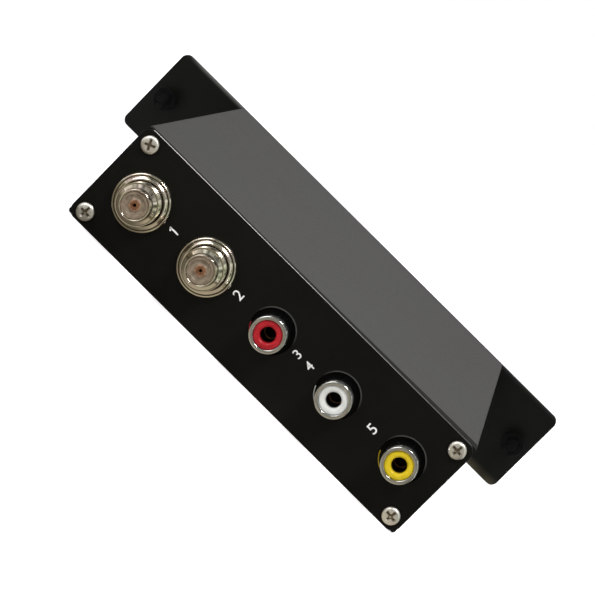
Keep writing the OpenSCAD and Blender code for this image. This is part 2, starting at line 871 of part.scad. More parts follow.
module chip_parts() color([0.55, 0.42, 0.3]) {
    for (share = back_row_shares) board_block(share * board_w, along_board(back_row_share), chip_part_size);
    for (share = front_row_shares) board_block(share * board_w, along_board(front_row_share), chip_part_size);
    for (share = strip_part_shares, side = [-1, 1])
        board_block(control_x + side * strip_part_offset, along_board(share), chip_part_size);
}

// Indicator

module status_lamp() color([0.25, 0.75, 0.3]) {
    flange_y = front_y - lamp_flange_t - seat_gap;
    body_len = lamp_flange_t + seat_gap + face_t + lamp_reach - lamp_r;
    lead_back_y = flange_y - spacer_depth - lead_w;
    facing_front(lamp_x, flange_y) {
        cylinder(r = lamp_flange_r, h = lamp_flange_t);
        cylinder(r = lamp_r, h = body_len);
        translate([0, 0, body_len]) sphere(lamp_r);
    }
    for (side = [-1, 1])
        translate([lamp_x + side * lead_pitch / 2 - lead_w / 2, lead_back_y, mid_z - lead_w / 2]) {
            cube([lead_w, spacer_depth + lead_w, lead_w]);
            translate([0, 0, board_top - mid_z + lead_w / 2])
                cube([lead_w, lead_w, jack_height]);
        }
}

module lamp_spacer() color([0.08, 0.08, 0.08]) {
    spacer_front_y = front_y - lamp_flange_t - seat_gap;
    difference() {
        translate([lamp_x - spacer_w / 2, spacer_front_y - spacer_depth, board_top])
            cube([spacer_w, spacer_depth, jack_height + spacer_w / 2]);
        for (side = [-1, 1])
            translate([lamp_x + side * lead_pitch / 2 - lead_w / 2 - lead_gap,
                    spacer_front_y - spacer_depth - cut, mid_z - lead_w / 2 - lead_gap])
                cube([lead_w + 2 * lead_gap, spacer_depth + 2 * cut, lead_w + 2 * lead_gap]);
    }
}

// Trimmers

trim_row_start = lamp_x + spacer_w / 2;
trim_pitch = (switch_x - switch_w / 2 - trim_row_start) / trim_count;
function trimmer_x(i) = trim_row_start + (i + 0.5) * trim_pitch;

module trimmer_body(i) color([0.12, 0.28, 0.6])
    difference() {
        translate([trimmer_x(i) - trim_w / 2, trim_face_y - trim_depth, board_top])
            cube([trim_w, trim_depth, jack_height + trim_body_top]);
        facing_front(trimmer_x(i), trim_face_y - rotor_t - turn_gap)
            cylinder(r = rotor_d / 2 + turn_gap, h = rotor_t + turn_gap + cut);
    }

module trimmer_rotor(i) color([0.9, 0.88, 0.8]) {
    stub_len = control_set_back + face_t - stub_recess;
    facing_front(trimmer_x(i), trim_face_y - rotor_t)
        difference() {
            union() {
                cylinder(d = rotor_d, h = rotor_t);
                cylinder(d = stub_d, h = rotor_t + stub_len);
            }
            translate([0, 0, rotor_t + stub_len])
                cube([stub_d + cut, stub_slot_w, 2 * stub_slot_depth], center = true);
        }
}

module trimmer_body_1() trimmer_body(0);
module trimmer_body_2() trimmer_body(1);
module trimmer_body_3() trimmer_body(2);
module trimmer_rotor_1() trimmer_rotor(0);
module trimmer_rotor_2() trimmer_rotor(1);
module trimmer_rotor_3() trimmer_rotor(2);

// Channel switch

function lever_x(i) = switch_x + (i - (lever_count - 1) / 2) * lever_pitch;

cavity_h = lever_travel + foot_h + 2 * turn_gap;
cavity_depth = foot_depth + 2 * turn_gap;
cavity_w = foot_w + 2 * turn_gap;
lever_z = mid_z - lever_travel / 2;

module channel_switch_body() color([0.65, 0.08, 0.08])
    difference() {
        translate([switch_x - switch_w / 2, trim_face_y - switch_depth, board_top])
            cube([switch_w, switch_depth, jack_height + switch_top]);
        for (i = [0:lever_count - 1]) {
            translate([lever_x(i) - lever_slot_w / 2, trim_face_y - switch_face_t - cut,
                    mid_z - lever_slot_h / 2])
                cube([lever_slot_w, switch_face_t + 2 * cut, lever_slot_h]);
            translate([lever_x(i) - cavity_w / 2, trim_face_y - switch_face_t - cavity_depth,
                    mid_z - cavity_h / 2])
                cube([cavity_w, cavity_depth, cavity_h]);
        }
    }

module switch_lever(i) color([0.92, 0.92, 0.88]) {
    foot_front_y = trim_face_y - switch_face_t - turn_gap;
    translate([lever_x(i) - foot_w / 2, foot_front_y - foot_depth, lever_z - foot_h / 2])
        cube([foot_w, foot_depth, foot_h]);
    translate([lever_x(i) - lever_w / 2, foot_front_y, lever_z - lever_h / 2])
        cube([lever_w, turn_gap + switch_face_t + lever_reach, lever_h]);
}

module switch_lever_1() switch_lever(0);
module switch_lever_2() switch_lever(1);
module switch_lever_3() switch_lever(2);
module switch_lever_4() switch_lever(3);
module switch_lever_5() switch_lever(4);
module switch_lever_6() switch_lever(5);
module switch_lever_7() switch_lever(6);
module switch_lever_8() switch_lever(7);

// Thumbscrews

clip_len = clip_t + 2 * clip_gap;

module knurled_head() {
    difference() {
        intersection() {
            linear_extrude(thumb_head_len)
                difference() {
                    circle(thumb_head_r);
                    for (i = [0:knurl_count - 1])
                        rotate([0, 0, i * 360 / knurl_count])
                            translate([thumb_head_r, 0]) circle(d = knurl_groove_d, $fn = 16);
                }
            rotate_extrude()
                polygon([
                    [0, 0], [thumb_head_r - thumb_chamfer, 0], [thumb_head_r, thumb_chamfer],
                    [thumb_head_r, thumb_head_len - thumb_chamfer],
                    [thumb_head_r - thumb_chamfer, thumb_head_len], [0, thumb_head_len]
                ]);
        }
        translate([0, 0, thumb_head_len])
            cube([thumb_head_d + cut, thumb_slot_w, 2 * thumb_slot_depth], center = true);
    }
}

module thumbscrew(side) color([0.1, 0.1, 0.1])
    facing_front(side * thumb_x, face_y + thumb_seat_gap) {
        behind = thumb_seat_gap + face_t;
        knurled_head();
        rotate([180, 0, 0])
            rotate_extrude()
                polygon([
                    [0, 0], [thumb_r, 0],
                    [thumb_r, behind + clip_back], [thumb_neck_r, behind + clip_back],
                    [thumb_neck_r, behind + clip_back + clip_len], [thumb_r, behind + clip_back + clip_len],
                    [thumb_r, behind + thumb_reach - thumb_point],
                    [thumb_r - thumb_point, behind + thumb_reach], [0, behind + thumb_reach]
                ]);
    }

module retaining_clip(side) color([0.15, 0.15, 0.15])
    facing_back(side * thumb_x, front_y - clip_back - clip_gap)
        linear_extrude(clip_t)
            difference() {
                circle(clip_d / 2);
                circle(thumb_neck_r + clip_gap);
                translate([0, -clip_d / 2]) square([clip_mouth_w, clip_d], center = true);
            }

module left_thumbscrew() thumbscrew(-1);
module right_thumbscrew() thumbscrew(1);
module left_retaining_clip() retaining_clip(-1);
module right_retaining_clip() retaining_clip(1);

upper_case_shell();
lower_case_shell();
connector_panel();
connector_panel_screws();
faceplate();
faceplate_screws();
main_board();
rf_jack_barrel();
rf_jack_nut();
rf_jack_insulator();
rf_jack_contact();
power_jack_barrel();
power_jack_nut();
power_jack_insulator();
power_jack_contact();
lock_washers();
red_jack_housing();
red_jack_shell();
red_jack_contact();
white_jack_housing();
white_jack_shell();
white_jack_contact();
yellow_jack_housing();
yellow_jack_shell();
yellow_jack_contact();
jack_collars();
shield_frame();
shield_lid();
modulator_chip();
controller_chip();
saw_filter();
quartz_crystal();
voltage_regulator();
power_inductor();
electrolytic_capacitors();
chip_parts();
status_lamp();
lamp_spacer();
trimmer_body_1();
trimmer_body_2();
trimmer_body_3();
trimmer_rotor_1();
trimmer_rotor_2();
trimmer_rotor_3();
channel_switch_body();
switch_lever_1();
switch_lever_2();
switch_lever_3();
switch_lever_4();
switch_lever_5();
switch_lever_6();
switch_lever_7();
switch_lever_8();
left_thumbscrew();
right_thumbscrew();
left_retaining_clip();
right_retaining_clip();
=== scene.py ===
"""Looks of a slim rack module with a row of jacks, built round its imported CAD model.

Lengths written here are in millimetres and turned into metres by MM where geometry is made. The connector
panel faces -Y, the faceplate faces +Y and +Z is up, as in the CAD model.
"""

import json
import math

import bmesh
import bpy
from mathutils import Matrix, Vector


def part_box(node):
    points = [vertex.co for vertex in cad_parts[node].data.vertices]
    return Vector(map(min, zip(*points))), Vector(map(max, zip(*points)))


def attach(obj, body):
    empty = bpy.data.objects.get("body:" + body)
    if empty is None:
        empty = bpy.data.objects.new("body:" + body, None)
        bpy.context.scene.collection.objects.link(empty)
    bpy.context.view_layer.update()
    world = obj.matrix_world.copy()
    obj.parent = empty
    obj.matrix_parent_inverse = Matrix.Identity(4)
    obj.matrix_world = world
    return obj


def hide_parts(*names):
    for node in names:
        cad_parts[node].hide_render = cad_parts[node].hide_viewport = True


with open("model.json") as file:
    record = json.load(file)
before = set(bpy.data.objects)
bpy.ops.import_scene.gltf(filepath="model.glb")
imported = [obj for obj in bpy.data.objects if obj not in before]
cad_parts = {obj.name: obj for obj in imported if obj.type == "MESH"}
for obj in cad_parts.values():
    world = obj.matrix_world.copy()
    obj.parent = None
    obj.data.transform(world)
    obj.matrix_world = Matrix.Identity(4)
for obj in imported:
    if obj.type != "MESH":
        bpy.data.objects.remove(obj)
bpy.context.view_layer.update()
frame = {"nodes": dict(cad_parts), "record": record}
nodes = frame["nodes"]
scene = bpy.context.scene

MM = 0.001
BACK = -1  # pieces that point out of the connector panel
FRONT = 1  # pieces that point out of the faceplate


# Places taken from the CAD model

def box_mm(node):
    low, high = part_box(node)
    return low / MM, high / MM


def centre_x(node):
    low, high = box_mm(node)
    return (low.x + high.x) / 2


CASE_END_Y = box_mm("upper_case_shell")[0].y
PANEL_LOW, PANEL_HIGH = box_mm("connector_panel")
FACE_LOW, FACE_HIGH = box_mm("faceplate")
MID_Z = (FACE_LOW.z + FACE_HIGH.z) / 2
PANEL_Y = PANEL_LOW.y
BACK_Y = PANEL_HIGH.y
FRONT_Y = FACE_LOW.y
FACE_Y = FACE_HIGH.y
PANEL_T = BACK_Y - PANEL_Y
FACE_T = FACE_Y - FRONT_Y
BOARD_LOW, BOARD_HIGH = box_mm("main_board")
BOARD_TOP = BOARD_HIGH.z
BOARD_NOTCH = 0.25  # jack bodies step up onto the board this far behind its edge
FOOT_Y = BOARD_LOW.y + BOARD_NOTCH
COAX_X = [centre_x(f"{jack}_jack_nut") for jack in ("rf", "power")]
PHONO_X = [centre_x(f"{tint}_jack_shell") for tint in ("red", "white", "yellow")]

# Sizes of the jacks that both their shapes and the masks of their materials use

THREAD_R = 4.75
THREAD_LEN = 7.4
SHOULDER_LEN = 0.9
NUT_T = 1.8
NUT_TOP = 2.3
NUT_GROOVE_R = 6
SHELL_LEN = 7.8
CORE_RECESS = 0.35
SOCKET_R = 1.75
SHELL_R = 4.175
PHONO_HOLE_R = 5.2


# Materials

def node_material(name):
    mat = bpy.data.materials.new(name)
    mat.use_nodes = True
    tree = mat.node_tree
    shader = tree.nodes["Principled BSDF"]
    coords = tree.nodes.new("ShaderNodeTexCoord")
    return mat, tree, shader, coords


def noise(tree, coords, size_mm, detail=3.0, stretch=(1, 1, 1)):
    """Noise in the part's own frame whose features are about size_mm across."""
    mapping = tree.nodes.new("ShaderNodeMapping")
    mapping.inputs["Scale"].default_value = stretch
    texture = tree.nodes.new("ShaderNodeTexNoise")
    texture.inputs["Scale"].default_value = 1 / (size_mm * MM)
    texture.inputs["Detail"].default_value = detail
    tree.links.new(coords.outputs["Object"], mapping.inputs["Vector"])
    tree.links.new(mapping.outputs["Vector"], texture.inputs["Vector"])
    return texture.outputs["Fac"]


def spread(tree, value, low, high, start=0.35, end=0.65):
    """Maps start to end onto low to high. Without limits it takes the middle range of a noise."""
    node = tree.nodes.new("ShaderNodeMapRange")
    node.inputs["From Min"].default_value = start
    node.inputs["From Max"].default_value = end
    node.inputs["To Min"].default_value = low
    node.inputs["To Max"].default_value = high
    tree.links.new(value, node.inputs["Value"])
    return node.outputs["Result"]


def mixed(tree, factor, first, second):
    """Colour between first and second by factor; either may be a socket."""
    node = tree.nodes.new("ShaderNodeMix")
    node.data_type = "RGBA"
    tree.links.new(factor, node.inputs["Factor"])
    for value, socket in ((first, node.inputs["A"]), (second, node.inputs["B"])):
        if isinstance(value, bpy.types.NodeSocket):
            tree.links.new(value, socket)
        else:
            socket.default_value = (*value, 1)
    return node.outputs["Result"]


def bump(tree, height, depth_mm, normal=None):
    node = tree.nodes.new("ShaderNodeBump")
    node.inputs["Strength"].default_value = 1
    node.inputs["Distance"].default_value = depth_mm * MM
    tree.links.new(height, node.inputs["Height"])
    if normal:
        tree.links.new(normal, node.inputs["Normal"])
    return node.outputs["Normal"]


def finish(name, tones, rough, metal=0.0, specular=0.5, cloud_mm=12, grain_mm=0.3, grain_depth_mm=0.004,
           stretch=(1, 1, 1), coat=0.0, coat_rough=0.1, subsurface=0.0):
    """A surface whose colour wanders between two tones, with a fine grain in its gloss and relief."""
    mat, tree, shader, coords = node_material(name)
    cloud = noise(tree, coords, cloud_mm)
    grain = noise(tree, coords, grain_mm, 4, stretch)
    tree.links.new(mixed(tree, spread(tree, cloud, 0, 1), *tones), shader.inputs["Base Color"])
    tree.links.new(spread(tree, grain, *rough), shader.inputs["Roughness"])
    tree.links.new(bump(tree, grain, grain_depth_mm), shader.inputs["Normal"])
    shader.inputs["Metallic"].default_value = metal
    shader.inputs["Specular IOR Level"].default_value = specular
    if coat:
        shader.inputs["Coat Weight"].default_value = coat
        shader.inputs["Coat Roughness"].default_value = coat_rough
    if subsurface:
        shader.inputs["Subsurface Weight"].default_value = subsurface
        shader.inputs["Subsurface Radius"].default_value = (0.001, 0.001, 0.001)
        shader.inputs["Subsurface Scale"].default_value = 1
    return mat


def along(tree, coords, axis):
    """Place along an axis of the part frame, in metres."""
    parts = tree.nodes.new("ShaderNodeSeparateXYZ")
    tree.links.new(coords.outputs["Object"], parts.inputs["Vector"])
    return parts.outputs[axis]


def beyond(tree, coords, axis, place_mm, width_mm=0.02):
    """0 before a place along an axis of the part frame and 1 beyond it."""
    half_w = width_mm / 2
    return spread(tree, along(tree, coords, axis), 0, 1, (place_mm - half_w) * MM, (place_mm + half_w) * MM)


def computed(tree, operation, first, second=0):
    """Result of a mathematical node; the values may be sockets or numbers."""
    node = tree.nodes.new("ShaderNodeMath")
    node.operation = operation
    for value, socket in zip((first, second), node.inputs):
        if isinstance(value, bpy.types.NodeSocket):
            tree.links.new(value, socket)
        else:
            socket.default_value = value
    return node.outputs["Value"]


def product(tree, first, second):
    return computed(tree, "MULTIPLY", first, second)


def larger(tree, first, second):
    return computed(tree, "MAXIMUM", first, second)


def inverse(tree, mask):
    return computed(tree, "SUBTRACT", 1, mask)


def overlay(mat, mask_of, tone, rough):
    """Changes colour and gloss of a finish where the mask is 1. The tone is a colour, or a function that, like
    the mask's, gives a socket."""
    tree = mat.node_tree
    shader = tree.nodes["Principled BSDF"]
    coords = tree.nodes["Texture Coordinate"]
    mask = mask_of(tree, coords)
    if callable(tone):
        tone = tone(tree, coords)
    plain = shader.inputs["Base Color"].links[0].from_socket
    tree.links.new(mixed(tree, mask, plain, tone), shader.inputs["Base Color"])
    gloss = shader.inputs["Roughness"].links[0].from_socket
    kept = product(tree, inverse(tree, mask), gloss)
    tree.links.new(computed(tree, "ADD", kept, product(tree, mask, rough)), shader.inputs["Roughness"])


def circuit_board_material():
    """Green solder mask with raised tracks and tinned pads."""
    mat, tree, shader, coords = node_material("circuit_board")
    tracks = tree.nodes.new("ShaderNodeTexBrick")
    tracks.offset = 0.37
    tracks.inputs["Scale"].default_value = 1 / (9 * MM)
    tracks.inputs["Mortar Size"].default_value = 0.035
    tracks.inputs["Color1"].default_value = (0, 0, 0, 1)
    tracks.inputs["Color2"].default_value = (0.15, 0.15, 0.15, 1)
    tracks.inputs["Mortar"].default_value = (1, 1, 1, 1)
    tree.links.new(coords.outputs["Object"], tracks.inputs["Vector"])
    pads = tree.nodes.new("ShaderNodeTexVoronoi")
    pads.inputs["Scale"].default_value = 1 / (5 * MM)
    tree.links.new(coords.outputs["Object"], pads.inputs["Vector"])
    masked = mixed(tree, tracks.outputs["Color"], (0.012, 0.11, 0.045), (0.03, 0.24, 0.09))
    pad = spread(tree, pads.outputs["Distance"], 1, 0, 0.1, 0.12)
    tree.links.new(mixed(tree, pad, masked, (0.6, 0.58, 0.52)), shader.inputs["Base Color"])
    tree.links.new(pad, shader.inputs["Metallic"])
    tree.links.new(bump(tree, tracks.outputs["Fac"], 0.03), shader.inputs["Normal"])
    shader.inputs["Roughness"].default_value = 0.35
    return mat


TURNING_MM = 0.12


def turned_metal(name, tones, rough):
    """Plated metal with a fine grain of turning marks along Y and a few worn spots."""
    mat, tree, shader, coords = node_material(name)
    cloud = noise(tree, coords, 3)
    marks = noise(tree, coords, TURNING_MM, 2, (0.15, 1, 0.15))
    spots = noise(tree, coords, 0.9, 5)
    tree.links.new(mixed(tree, spread(tree, cloud, 0, 1), *tones), shader.inputs["Base Color"])
    tree.links.new(spread(tree, spots, *rough), shader.inputs["Roughness"])
    tree.links.new(bump(tree, marks, 0.003, bump(tree, spots, 0.004)), shader.inputs["Normal"])
    shader.inputs["Metallic"].default_value = 1
    return mat


def axis_distance(tree, coords, places):
    """Distance in metres to the nearest of the jack axes at these X."""
    rise = computed(tree, "POWER", computed(tree, "SUBTRACT", along(tree, coords, "Z"), MID_Z * MM), 2)
    nearest = None
    for x in places:
        run = computed(tree, "POWER", computed(tree, "SUBTRACT", along(tree, coords, "X"), x * MM), 2)
        here = computed(tree, "SQRT", computed(tree, "ADD", run, rise))
        nearest = computed(tree, "MINIMUM", nearest, here) if nearest else here
    return nearest


def within(tree, value, low_mm, high_mm, soft_mm=0.06):
    """1 where a length is between two limits."""
    soft = soft_mm / 2
    after = spread(tree, value, 0, 1, (low_mm - soft) * MM, (low_mm + soft) * MM)
    before = spread(tree, value, 1, 0, (high_mm - soft) * MM, (high_mm + soft) * MM)
    return product(tree, after, before)


def within_y(tree, coords, low_mm, high_mm, soft_mm=0.06):
    return within(tree, along(tree, coords, "Y"), low_mm, high_mm, soft_mm)


# Masks: what is laid over a finish, and where

EDGE_SKIN = 0.1
PANEL_HIGHLIGHT_W = 0.95
PANEL_HIGHLIGHT_FADE = (6, 76)  # middle along X and width of its fading to the right
WEDGE_DEPTHS = (2.4, 6.6)  # width of the dull strip at the two places of WEDGE_X
WEDGE_X = (-16, 46)
WEDGE_SOFT = 0.1
RECESS_DEPTH = 0.58
SOCKET_LIT = 1.1  # depth at which a phono bore is half dark
SOCKET_FADE = 1.8
RIM_W = 0.3
RIM_RISE = 2.4
EDGE_HIGHLIGHT_W = 1.2
EDGE_HIGHLIGHT_RIGHT_SHARE = 0.15
EAR_CORNER = 3.5
FOOT_BAND_W = 2.6
FOOT_BAND_X = 50


def panel_edge(tree, coords):
    """The matt upper face of the panel's edge."""
    return beyond(tree, coords, "Z", PANEL_HIGH.z - EDGE_SKIN)


def bare_line(tree, coords):
    """Painted highlight: a narrow pale line along the panel's upper rear edge."""
    return product(tree, panel_edge(tree, coords), beyond(tree, coords, "Y", BACK_Y - PANEL_HIGHLIGHT_W, 0.1))


def bare_line_tone(tree, coords):
    """Tone of the painted highlight, bright on the left and dull on the right."""
    return mixed(tree, beyond(tree, coords, "X", *PANEL_HIGHLIGHT_FADE), (0.78, 0.78, 0.75), (0.11, 0.11, 0.105))


def grooves(tree, coords):
    """Painted shade in the grooves of the threaded jacks."""
    r = axis_distance(tree, coords, COAX_X)
    nut_y, thread_y = PANEL_Y - NUT_TOP, PANEL_Y - THREAD_LEN
    neck_y = thread_y - SHOULDER_LEN
    in_nut = product(tree, within(tree, r, NUT_GROOVE_R - 0.08, NUT_GROOVE_R + 0.1),
                     within_y(tree, coords, PANEL_Y - NUT_T + 0.2, PANEL_Y, 0.3))
    round_barrel = product(tree, within(tree, r, 4.2, THREAD_R + 0.12),
                           within_y(tree, coords, nut_y - 1.2, nut_y + 0.2))
    roots = product(tree, within(tree, r, 4.2, THREAD_R - 0.16, 0.1), within_y(tree, coords, thread_y, nut_y))
    neck = product(tree, within(tree, r, 3.3, 3.75), within_y(tree, coords, neck_y - 0.35, neck_y + 0.2, 0.2))
    widest = larger(tree, larger(tree, in_nut, round_barrel), larger(tree, roots, neck))
    return product(tree, widest, 0.85)


def inside_socket(tree, coords):
    """Painted shade in the bore of a phono jack, which darkens inwards, and in the gap round its shell."""
    r = axis_distance(tree, coords, PHONO_X)
    depth = beyond(tree, coords, "Y", PANEL_Y - SHELL_LEN + CORE_RECESS + SOCKET_LIT, SOCKET_FADE)
    bore = product(tree, within(tree, r, 0, SOCKET_R + 0.12), product(tree, depth, 0.96))
    gap = product(tree, within(tree, r, SHELL_R - 0.1, PHONO_HOLE_R + 0.1),
                  beyond(tree, coords, "Y", PANEL_Y + 1.1, 0.5))
    return larger(tree, bore, gap)


def hole_rim(tree, coords):
    """The upper rims of the panel's phono holes, which catch the light."""
    r = axis_distance(tree, coords, PHONO_X)
    rim = product(tree, within(tree, r, PHONO_HOLE_R, PHONO_HOLE_R + RIM_W, 0.12),
                  beyond(tree, coords, "Z", MID_Z + RIM_RISE, 3))
    return product(tree, rim, inverse(tree, beyond(tree, coords, "Y", PANEL_Y + RIM_W)))


def front_wedge(tree, coords):
    """Painted shade: a dark, dull strip behind the panel on top of the case, which widens to the right."""
    narrow, wide = (depth * MM for depth in WEDGE_DEPTHS)
    start, end = (x * MM for x in WEDGE_X)
    depth = spread(tree, along(tree, coords, "X"), narrow, wide, start, end)
    place = computed(tree, "SUBTRACT", along(tree, coords, "Y"), CASE_END_Y * MM)
    return spread(tree, computed(tree, "SUBTRACT", depth, place), 0, 1, -WEDGE_SOFT * MM, WEDGE_SOFT * MM)


def deep_in_head(tree, coords):
    """Painted shade: 1 in the recess of the connector panel's screws and low on their sides."""
    return beyond(tree, coords, "Y", PANEL_Y - RECESS_DEPTH, 0.3)


def rear_side(tree, coords, mask):
    """A mask kept to the rear of the faceplate."""
    return product(tree, mask, inverse(tree, beyond(tree, coords, "Y", FRONT_Y + FACE_T / 2, 0.2)))


def lit_edge(tree, coords):
    """Painted highlight along the upper edge of the ears, stronger on the left one."""
    rise = computed(tree, "POWER", beyond(tree, coords, "Z", FACE_HIGH.z - 0.5, EDGE_HIGHLIGHT_W), 1.5)
    right = beyond(tree, coords, "X", 0, 2)
    left = product(tree, beyond(tree, coords, "X", FACE_LOW.x + EAR_CORNER, 6), inverse(tree, right))
    level = computed(tree, "ADD", left, product(tree, right, EDGE_HIGHLIGHT_RIGHT_SHARE))
    return rear_side(tree, coords, product(tree, rise, level))


def lit_foot(tree, coords):
    """Painted reflection: a pale band along the lower edge of the right ear."""
    fall = inverse(tree, beyond(tree, coords, "Z", FACE_LOW.z + 1.2, FOOT_BAND_W))
    return rear_side(tree, coords, product(tree, fall, beyond(tree, coords, "X", FOOT_BAND_X, 24)))


def behind_faceplate(tree, coords):
    """Painted shade on the shanks of the thumbscrews, which makes them darker than their heads."""
    return inverse(tree, beyond(tree, coords, "Y", FRONT_Y))


MATERIALS = {
    "case_paint": finish("case_paint", ((0.023, 0.0185, 0.0165), (0.0205, 0.023, 0.019)), (0.42, 0.5),
                         specular=0.25, cloud_mm=26, grain_mm=0.35, grain_depth_mm=0.006),
    "panel_paint": finish("panel_paint", ((0.0035, 0.0035, 0.0028), (0.005, 0.005, 0.004)), (0.4, 0.5),
                          specular=0.12, cloud_mm=18, grain_mm=0.3, grain_depth_mm=0.005),
    "faceplate_paint": finish("faceplate_paint", ((0.003, 0.0033, 0.0022), (0.0045, 0.0048, 0.0034)),
                              (0.34, 0.42), specular=0.1, cloud_mm=25, grain_mm=0.4, grain_depth_mm=0.005),
    "mark_ink": finish("mark_ink", ((0.78, 0.78, 0.75), (0.86, 0.86, 0.83)), (0.5, 0.6), cloud_mm=2,
                       grain_mm=0.15, grain_depth_mm=0.004),
    "screw_nickel": turned_metal("screw_nickel", ((0.8, 0.78, 0.72), (0.9, 0.88, 0.82)), (0.36, 0.5)),
    "warm_nickel": turned_metal("warm_nickel", ((0.68, 0.59, 0.51), (0.7, 0.68, 0.53)), (0.1, 0.18)),
    "bright_nickel": turned_metal("bright_nickel", ((0.5, 0.51, 0.49), (0.62, 0.63, 0.61)), (0.12, 0.2)),
    "jack_copper": finish("jack_copper", ((0.2, 0.1, 0.06), (0.5, 0.24, 0.13)), (0.3, 0.5), metal=0.4,
                          cloud_mm=0.5, grain_mm=0.2, grain_depth_mm=0.03),
    "contact_copper": turned_metal("contact_copper", ((0.3, 0.15, 0.08), (0.44, 0.25, 0.13)), (0.34, 0.5)),
    "black_screw": finish("black_screw", ((0.009, 0.009, 0.009), (0.014, 0.014, 0.0135)), (0.3, 0.42),
                          specular=0.16, cloud_mm=1.5, grain_mm=0.12),
    "clip_steel": finish("clip_steel", ((0.0015, 0.0015, 0.0015), (0.004, 0.004, 0.004)), (0.4, 0.5),
                         specular=0.06, cloud_mm=1.5, grain_mm=0.12),
    "tinned_steel": finish("tinned_steel", ((0.5, 0.5, 0.48), (0.66, 0.66, 0.63)), (0.28, 0.45), metal=1,
                           cloud_mm=8, grain_mm=0.4, stretch=(1, 0.12, 1)),
    "can_metal": finish("can_metal", ((0.5, 0.49, 0.45), (0.64, 0.62, 0.57)), (0.2, 0.34), metal=1,
                        cloud_mm=4, grain_mm=0.2),
    "circuit_board": circuit_board_material(),
    "black_plastic": finish("black_plastic", ((0.001, 0.001, 0.001), (0.002, 0.002, 0.002)), (0.22, 0.32),
                            specular=0.05, cloud_mm=3, grain_mm=0.1),
    "chip_epoxy": finish("chip_epoxy", ((0.012, 0.012, 0.013), (0.022, 0.022, 0.024)), (0.45, 0.6), cloud_mm=3,
                         grain_mm=0.1, grain_depth_mm=0.006),
    "ferrite": finish("ferrite", ((0.035, 0.035, 0.037), (0.06, 0.06, 0.062)), (0.55, 0.7), cloud_mm=2,
                      grain_mm=0.15, grain_depth_mm=0.015),
    "capacitor_sleeve": finish("capacitor_sleeve", ((0.01, 0.01, 0.03), (0.02, 0.02, 0.055)), (0.2, 0.3),
                               cloud_mm=4, grain_mm=0.3),
    "chip_ceramic": finish("chip_ceramic", ((0.3, 0.2, 0.12), (0.62, 0.58, 0.52)), (0.3, 0.5), cloud_mm=0.8,
                           grain_mm=0.1),
    "lamp_green": finish("lamp_green", ((0.035, 0.42, 0.075), (0.07, 0.55, 0.12)), (0.08, 0.14), cloud_mm=2,
                         grain_mm=0.5, grain_depth_mm=0.001, coat=0.6, coat_rough=0.05, subsurface=0.4),
    "switch_red": finish("switch_red", ((0.34, 0.012, 0.012), (0.45, 0.02, 0.02)), (0.36, 0.46), cloud_mm=4,
                         grain_mm=0.15),
    "lever_white": finish("lever_white", ((0.68, 0.68, 0.63), (0.8, 0.8, 0.76)), (0.34, 0.44), cloud_mm=1.5,
                          grain_mm=0.1, subsurface=0.1),
    "trimmer_blue": finish("trimmer_blue", ((0.02, 0.09, 0.34), (0.035, 0.13, 0.44)), (0.36, 0.46), cloud_mm=3,
                           grain_mm=0.15),
    "rotor_ivory": finish("rotor_ivory", ((0.6, 0.56, 0.43), (0.74, 0.7, 0.58)), (0.36, 0.46), cloud_mm=1.5,
                          grain_mm=0.1, subsurface=0.1),
    "insulator_beige": finish("insulator_beige", ((0.15, 0.11, 0.07), (0.24, 0.185, 0.125)), (0.34, 0.46),
                              cloud_mm=0.9, grain_mm=0.1, grain_depth_mm=0.006),
    "red_plastic": finish("red_plastic", ((0.33, 0.005, 0.01), (0.42, 0.01, 0.018)), (0.26, 0.34), specular=0.3,
                          cloud_mm=2.5, grain_mm=0.15, grain_depth_mm=0.002),
    "white_plastic": finish("white_plastic", ((0.6, 0.6, 0.56), (0.7, 0.7, 0.67)), (0.26, 0.34), specular=0.3,
                            cloud_mm=2.5, grain_mm=0.15, grain_depth_mm=0.002),
    "yellow_plastic": finish("yellow_plastic", ((0.58, 0.42, 0.005), (0.68, 0.5, 0.01)), (0.26, 0.34),
                             specular=0.3, cloud_mm=2.5, grain_mm=0.15, grain_depth_mm=0.002),
}
overlay(MATERIALS["panel_paint"], panel_edge, (0.004, 0.004, 0.0035), 0.95)
# Painted highlight along the panel's upper rear edge
overlay(MATERIALS["panel_paint"], bare_line, bare_line_tone, 0.6)
overlay(MATERIALS["panel_paint"], hole_rim, (0.06, 0.06, 0.055), 0.6)
# Painted shade on top of the case behind the panel
overlay(MATERIALS["case_paint"], front_wedge, (0.004, 0.004, 0.0035), 0.95)
# Painted highlight along the upper edge of the ears
overlay(MATERIALS["faceplate_paint"], lit_edge, (0.16, 0.16, 0.15), 0.6)
# Painted reflection along the foot of the right ear
overlay(MATERIALS["faceplate_paint"], lit_foot, (0.08, 0.07, 0.046), 0.6)
# Painted shade on the thumbscrew shanks behind the faceplate
overlay(MATERIALS["black_screw"], behind_faceplate, (0.001, 0.001, 0.001), 0.9)
# Painted shade in the recesses of the panel screws
overlay(MATERIALS["screw_nickel"], deep_in_head, (0.2, 0.17, 0.12), 0.3)
# Painted shade in the grooves of the threaded jacks
overlay(MATERIALS["warm_nickel"], grooves, (0.06, 0.048, 0.03), 0.4)
# Painted shade in the phono bores and round their shells
for tint in ("red", "white", "yellow"):
    overlay(MATERIALS[f"{tint}_plastic"], inside_socket, (0.004, 0.002, 0.002), 0.6)


# Mesh building. Each maker returns vertices in millimetres and faces.

